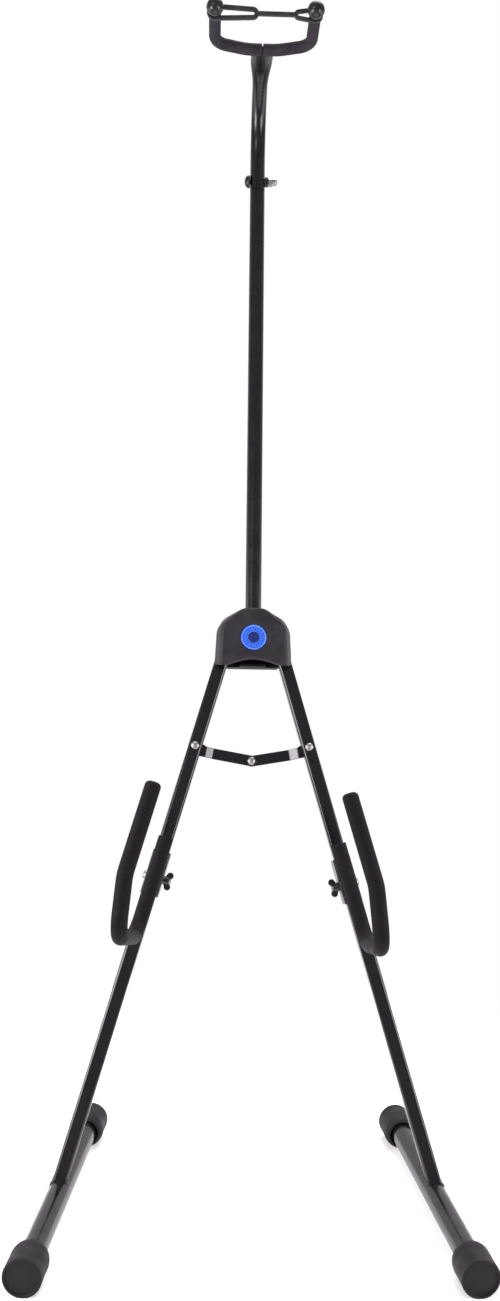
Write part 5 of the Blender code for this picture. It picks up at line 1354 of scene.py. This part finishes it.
class STAND_OT_brace(Operator):
    """Make the two brace links and their rivets"""
    bl_idname = "stand.brace"
    bl_label = "Brace"

    def execute(self, context):
        s = sizes("brace")
        half = s.width / 2
        flat = sizes("frame").leg_width / 2 + GAP
        y = (0, 1, 0)
        for word, side in SIDES:
            far = s.reach + half
            outline = [
                (-half, -s.rise - half), (far, -s.rise - half), (far, half - s.rise),
                (half + 6 * MM, half - s.rise), (half, half), (-half, half),
            ]
            strip = prism([(-side * x, z) for x, z in outline], flat, flat + s.thickness)
            ends = lambda edge: (
                abs(edge.verts[0].co.y - edge.verts[1].co.y) > 1 * MM
                and not half - 1e-4 < -side * edge.verts[0].co.x < half + 7 * MM
            )
            strip = eased(strip, half - 0.1 * MM, 8, 30, ends)
            steps = 12
            for k in range(-1, steps + 2):
                x = s.step_start + s.step_length * k / steps
                bmesh.ops.bisect_plane(
                    strip, geom=strip.verts[:] + strip.edges[:] + strip.faces[:], dist=1e-6,
                    plane_co=(-side * x, 0, 0), plane_no=(1, 0, 0),
                )
            strip = eased(strip, 0.45 * MM, 3, 50)
            for vert in strip.verts:
                vert.co.y += link_step(-side * vert.co.x, side)
            bores = []
            for x, z in ((0.0, 0.0), (-side * s.reach, -s.rise)):
                bores.append(moved(bar(s.rivet / 2 + GAP, 0.0, 0.04, y, 24), (x, 0, z)))
            strip = cut(strip, *bores)
            place = link_place(word, side)
            piece(f"{word}_link_strip", strip, place, f"{word}_link",
                  [f"{word}_brace_link"], SURFACES["enamel"])
            near = flat
            head = along(lathe(dome_head(s.head / 2, s.head_height, near, s.rivet / 2, 0.0)), (0, -1, 0))
            rear_seat = flat + s.thickness + GAP
            tail = along(lathe(dome_head(s.head / 2, s.head_height, rear_seat, s.rivet / 2, -1 * MM)), y)
            rivet = joined(head, tail)
            spot = leg_place(word) @ Matrix.Translation((0, 0, -s.drop))
            piece(f"{word}_rivet", rivet, spot, f"{word}_leg", [f"{word}_brace_rivet"], SURFACES["zinc"])
            direction = -1 if side < 0 else 1
            seat = s.thickness / 2 + GAP
            end = along(lathe(dome_head(s.head / 2, s.head_height, seat, s.rivet / 2, GAP - s.thickness / 2)), (0, direction, 0))
            end = moved(end, (-side * s.reach, link_back(side), -s.rise))
            name = "brace_centre_rivet_head" if side < 0 else "brace_centre_rivet_tail"
            piece(f"{name}_detail", end, place, f"{word}_link", [name], SURFACES["zinc"])
        return {"FINISHED"}


# Arms

def arm_rod_depth():
    """How far the arm rod's middle lies in front of the leg's middle."""
    s = sizes("arm")
    return sizes("frame").leg_width / 2 + 2 * GAP + s.sheet + s.sleeve / 2


def clamp_depth():
    """How far the clamp bolt lies behind the leg's middle."""
    return sizes("frame").leg_width / 2 + GAP + sizes("arm").bolt / 2


class STAND_OT_arm_brackets(Operator):
    """Make the sheet brackets that hold the arms on the legs"""
    bl_idname = "stand.arm_brackets"
    bl_label = "Arm Brackets"

    def execute(self, context):
        s = sizes("arm")
        inner = sizes("frame").leg_width / 2 + GAP
        outer = inner + s.sheet
        rear = clamp_depth() + 6 * MM
        half = s.bracket / 2
        for word, _ in SIDES:
            outline = [(outer, -outer), (outer, rear), (inner, rear), (inner, -inner)]
            outline += [(-x, y) for x, y in outline[::-1]]
            bm = bmesh.new()
            face = bm.faces.new([bm.verts.new((x, y, -half)) for x, y in outline])
            corner = [vert for vert in bm.verts if abs(vert.co.y + outer) < 1e-6]
            rounded(bm, corner, 2.6 * MM, 6)
            inside = [vert for vert in bm.verts if abs(vert.co.y + inner) < 1e-6 and abs(abs(vert.co.x) - inner) < 1e-6]
            rounded(bm, inside, 0.8 * MM, 3)
            made = bmesh.ops.extrude_face_region(bm, geom=bm.faces[:])["geom"]
            bmesh.ops.translate(bm, verts=[v for v in made if isinstance(v, bmesh.types.BMVert)], vec=(0, 0, s.bracket))
            bmesh.ops.recalc_face_normals(bm, faces=bm.faces)
            flange = lambda edge: (
                abs(edge.verts[0].co.y - rear) < 1e-6 and abs(edge.verts[1].co.y - rear) < 1e-6
                and abs(abs(edge.verts[0].co.z) - half) < 1e-6 and abs(edge.verts[0].co.x - edge.verts[1].co.x) > 1 * MM
            )
            bm = eased(bm, 6 * MM, 6, 50, flange)
            bm = eased(bm, 0.35 * MM, 2, 50)
            hole = moved(bar(s.bolt / 2 + GAP, -0.02, 0.02, (1, 0, 0), 32), (0, clamp_depth(), -s.bolt_below))
            rib_front = -(arm_rod_depth() - s.rod / 2 - GAP)
            rib = box((-1.6 * MM, rib_front, -half), (1.6 * MM, -inner - 1 * MM, half))
            bracket = cut(joined(bm, rib), hole)
            piece(f"{word}_bracket", bracket, arm_place(word), f"{word}_arm",
                  [f"{word}_arm_bracket"], SURFACES["enamel"])
        return {"FINISHED"}


def arm_corners(side, swing):
    """Corners of the arm's middle line, from its top on the leg to the tip of the prong."""
    s = sizes("arm")
    depth = arm_rod_depth()
    across = side * s.reach * math.sin(swing)
    front = -depth - s.reach * math.cos(swing)
    knee = across + side * s.prong_lower * math.tan(s.prong_lean)
    return [
        Vector((0, -depth, s.above)),
        Vector((0, -depth, -s.below)),
        Vector((across, front, -s.below)),
        Vector((knee, front, -s.below + s.prong_lower)),
        Vector((knee, front, -s.below + s.prong)),
    ]


class STAND_OT_arm_sleeves(Operator):
    """Make the padded sleeves of the arms"""
    bl_idname = "stand.arm_sleeves"
    bl_label = "Arm Sleeves"

    def execute(self, context):
        s = sizes("arm")
        radii = [s.bend, s.bend, s.prong_bend]
        half_length = s.bracket / 2 + GAP
        for word, side in SIDES:
            corners = arm_corners(side, getattr(s, f"{word}_swing"))
            shown = corners[:-1] + [corners[-1] + Vector((0, 0, s.tip))]
            sleeve = swept(s.sleeve / 2, shown, radii, math.radians(4), 56)
            tip = shown[-1].z
            at_tip = lambda edge: all(abs(vert.co.z - tip) < 1e-5 for vert in edge.verts)
            sleeve = eased(sleeve, 5.2 * MM, 8, 60, at_tip)
            sleeve = eased(sleeve, 0.9 * MM, 3, 60)
            bore = [corners[0] + Vector((0, 0, 4 * MM))] + corners[1:]
            bore = swept(s.rod / 2 + GAP, bore, radii, math.radians(4), 24)
            slot = box((-1.9 * MM, -arm_rod_depth(), -half_length), (1.9 * MM, 0.0, half_length))
            piece(
                f"{word}_sleeve", cut(sleeve, bore, slot), arm_place(word), f"{word}_arm",
                [f"{word}_arm_sleeve"], SURFACES["sleeve"],
            )
        return {"FINISHED"}


class STAND_OT_clamps(Operator):
    """Make the clamp bolts and wing nuts"""
    bl_idname = "stand.clamps"
    bl_label = "Clamps"

    def execute(self, context):
        s = sizes("arm")
        radius = s.bolt / 2
        seat = sizes("frame").leg_width / 2 + 2 * GAP + s.sheet
        nut_height = 6.0 * MM
        end = seat + nut_height + 2.5 * MM
        for word, side in SIDES:
            inward = (-side, 0, 0)
            place = arm_place(word) @ Matrix.Translation((0, clamp_depth(), -s.bolt_below))
            profile = [(0.0, -end), (radius * 0.7, -end), (radius, -end + 0.8 * MM)]
            thread = seat
            while thread < end - 1.6 * MM:
                profile += [(radius, -end + (thread - seat) + 1.0 * MM), (radius - 0.35 * MM, -end + (thread - seat) + 1.4 * MM)]
                thread += 0.9 * MM
            profile += [(radius, -seat), (radius, seat), (5.4 * MM, seat), (5.75 * MM, seat + 0.35 * MM)]
            profile += arc((0.0, seat + 0.6 * MM), (5.75 * MM, 3.4 * MM), 0, 90, 10)
            bolt = along(lathe(profile, 40), (side, 0, 0))
            piece(f"{word}_bolt", bolt, place, f"{word}_arm", [f"{word}_clamp_bolt"], SURFACES["zinc"])
            core = lathe([(0, 0), (5.0 * MM, 0), (5.25 * MM, 0.3 * MM), (4.3 * MM, nut_height - 0.4 * MM),
                          (3.9 * MM, nut_height), (0, nut_height)], 40)
            core = along(core, inward)
            wings = []
            for up in (-1, 1):
                wing = bean([(2.9 * MM, up * 2.5 * MM, 2.4 * MM), (5.9 * MM, up * 6.5 * MM, 3.9 * MM)], -1.6 * MM, 1.6 * MM)
                wing = eased(wing, 0.8 * MM, 3, 60)
                bmesh.ops.scale(wing, verts=wing.verts, vec=(-side, 1, 1))
                bmesh.ops.recalc_face_normals(wing, faces=wing.faces)
                wings.append(wing)
            nut = cut(joined(core, *wings), bar(radius + GAP, -0.005, 0.02, inward, 32))
            nut = moved(nut, (-side * seat, 0, 0))
            piece(f"{word}_wing", nut, place, f"{word}_wing_nut", [f"{word}_wing_nut"], SURFACES["nut"])
        return {"FINISHED"}


class STAND_OT_kept_nodes(Operator):
    """Give the plates, pins, rods and washers that are kept their finishes"""
    bl_idname = "stand.kept_nodes"
    bl_label = "Kept Nodes"

    def execute(self, context):
        kept = {
            "steel": ["pivot_plate_front", "pivot_plate_rear"],
            "zinc": ["mast_rivet_lower", "mast_rivet_upper"],
            "enamel": ["neck_spigot", "yoke_rod", "left_arm_rod", "right_arm_rod"],
        }
        for word, _ in SIDES:
            kept["steel"] += [f"{word}_pivot_pin", f"{word}_pivot_washer_front", f"{word}_pivot_washer_rear"]
        for key, names in kept.items():
            for name in names:
                node = frame["nodes"][name]
                node.data.materials.clear()
                node.data.materials.append(SURFACES[key])
        return {"FINISHED"}


# Stage

def camera_matrix(place, yaw, pitch, roll):
    """Placing matrix of a camera that looks along +Y, turned, tipped and rolled."""
    ahead = Vector((math.sin(yaw) * math.cos(pitch), math.cos(yaw) * math.cos(pitch), -math.sin(pitch)))
    right = Vector((math.cos(yaw), -math.sin(yaw), 0.0))
    down = ahead.cross(right)
    across = right * math.cos(roll) + down * math.sin(roll)
    below = down * math.cos(roll) - right * math.sin(roll)
    return basis(across, -below, -ahead, Vector(place))


def softbox(name, place, target, width, height, power, tint=(1.0, 1.0, 1.0)):
    """A soft rectangular light that faces a point."""
    light = bpy.data.lights.new(name, "AREA")
    light.shape = "RECTANGLE"
    light.size = width
    light.size_y = height
    light.energy = power
    light.color = tint
    made = bpy.data.objects.new(name, light)
    made.location = place
    made.rotation_euler = (Vector(target) - Vector(place)).to_track_quat("-Z", "Y").to_euler()
    bpy.context.scene.collection.objects.link(made)
    return made


class STAND_OT_stage(Operator):
    """Make the pale floor, the soft lights and the camera"""
    bl_idname = "stand.stage"
    bl_label = "Stage"

    def execute(self, context):
        s = sizes("stage")
        bm = bmesh.new()
        bmesh.ops.create_circle(bm, cap_ends=True, radius=s.floor_radius, segments=96)
        mesh = bpy.data.meshes.new("floor")
        bm.to_mesh(mesh)
        bm.free()
        floor = bpy.data.objects.new("floor", mesh)
        bpy.context.scene.collection.objects.link(floor)
        made, nodes, shader, vector = surface("floor_paper")
        shader.inputs["Roughness"].default_value = 0.9
        shader.inputs["Specular IOR Level"].default_value = 0.15
        shader.inputs["Emission Color"].default_value = (1.0, 1.0, 1.0, 1.0)
        shader.inputs["Emission Strength"].default_value = s.glow
        tone = nodes.noise(vector, 3.0, 3.0)
        low = solid(s.floor, 0.985)
        nodes.tree.links.new(nodes.mix(nodes.ramp(tone, 0.3, 0.7), low, solid(s.floor)), shader.inputs["Base Color"])
        mesh.materials.append(made)

        world = bpy.data.worlds.new("studio")
        context.scene.world = world
        world.use_nodes = True
        nodes = Nodes(world.node_tree)
        shown = nodes.add("ShaderNodeBackground", {"Color": (1.0, 1.0, 1.0, 1.0), "Strength": s.backdrop})
        coordinates = nodes.add("ShaderNodeTexCoord")
        facing = nodes.add("ShaderNodeSeparateXYZ", {"Vector": coordinates.outputs["Generated"]}).outputs
        behind = nodes.ramp(facing["Y"], 0.35, 0.70, s.room_front, s.room_back)
        above = nodes.ramp(facing["Z"], 0.75, 0.97, 0.0, s.room_top)
        light = nodes.maths("MAXIMUM", behind, above)
        lit = nodes.add("ShaderNodeBackground", {"Color": solid(s.tint), "Strength": light})
        path = nodes.add("ShaderNodeLightPath")
        both = nodes.add("ShaderNodeMixShader", {0: path.outputs["Is Camera Ray"], 1: lit.outputs[0], 2: shown.outputs[0]})
        nodes.tree.links.new(both.outputs[0], world.node_tree.nodes["World Output"].inputs["Surface"])

        overhead = bpy.data.lights.new("overhead_light", "SUN")
        overhead.energy = s.overhead
        overhead.color = s.tint
        overhead.angle = math.radians(50)
        hung = bpy.data.objects.new("overhead_light", overhead)
        hung.rotation_euler = Vector((0.25, 0.45, 1.6)).to_track_quat("Z", "Y").to_euler()
        context.scene.collection.objects.link(hung)
        for word, side in SIDES:
            softbox(f"{word}_softbox", (side * 1.2, -0.88, 0.59), (0, 0, 0.59), 0.50, 0.66, s.softboxes, s.tint)
            softbox(f"{word}_panel", (side * 1.5, 0.1, 0.60), (0, 0.1, 0.60), 1.6, 0.80, s.panels, s.tint)
        softbox("left_strip", (-1.33, -0.48, 0.60), (0.05, 0.05, 0.60), 0.30, 0.60, s.strip, s.tint)
        softbox("key_light", (-2.65, -4.04, 2.28), (0, 0.2, 1.22), 1.2, 1.2, s.key, s.tint)

        lens = bpy.data.cameras.new("photo_camera")
        lens.sensor_fit = "AUTO"
        lens.sensor_width = 36.0
        lens.lens = s.lens
        lens.shift_x = (250.0 - 245.57) / 1301.0
        lens.shift_y = (644.25 - 650.5) / 1301.0
        lens.clip_start = 0.05
        lens.clip_end = 60.0
        camera = bpy.data.objects.new("photo_camera", lens)
        camera.matrix_world = camera_matrix(s.camera_place, s.camera_yaw, s.camera_pitch, s.camera_roll)
        context.scene.collection.objects.link(camera)
        context.scene.camera = camera
        context.scene.view_settings.view_transform = "Standard"
        return {"FINISHED"}


OPERATORS = (
    STAND_OT_stage,
    STAND_OT_kept_nodes,
    STAND_OT_hub_shells,
    STAND_OT_badge,
    STAND_OT_hub_screws,
    STAND_OT_mast,
    STAND_OT_neck,
    STAND_OT_neck_bolt,
    STAND_OT_yoke_sleeves,
    STAND_OT_yoke_balls,
    STAND_OT_strap,
    STAND_OT_legs,
    STAND_OT_feet,
    STAND_OT_brace,
    STAND_OT_arm_brackets,
    STAND_OT_arm_sleeves,
    STAND_OT_clamps,
)


class STAND_PT_pieces(Panel):
    """Lists the pieces of the stand"""
    bl_idname = "STAND_PT_pieces"
    bl_label = "Cello Stand"
    bl_space_type = "VIEW_3D"
    bl_region_type = "UI"
    bl_category = "Cello Stand"

    def draw(self, context):
        for kind in OPERATORS:
            self.layout.operator(kind.bl_idname)


def register():
    """Register the settings, the operators and the panel."""
    for key, kind in GROUPS.items():
        bpy.utils.register_class(kind)
        setattr(bpy.types.Scene, key, PointerProperty(type=kind))
    for kind in OPERATORS:
        bpy.utils.register_class(kind)
    bpy.utils.register_class(STAND_PT_pieces)


def unregister():
    """Take everything off again."""
    bpy.utils.unregister_class(STAND_PT_pieces)
    for kind in reversed(OPERATORS):
        bpy.utils.unregister_class(kind)
    for key, kind in GROUPS.items():
        delattr(bpy.types.Scene, key)
        bpy.utils.unregister_class(kind)


def main():
    """Build the stage and every piece."""
    register()
    make_effects()
    make_surfaces()
    for kind in OPERATORS:
        family, call = kind.bl_idname.split(".")
        getattr(getattr(bpy.ops, family), call)()


if __name__ == "__main__":
    main()
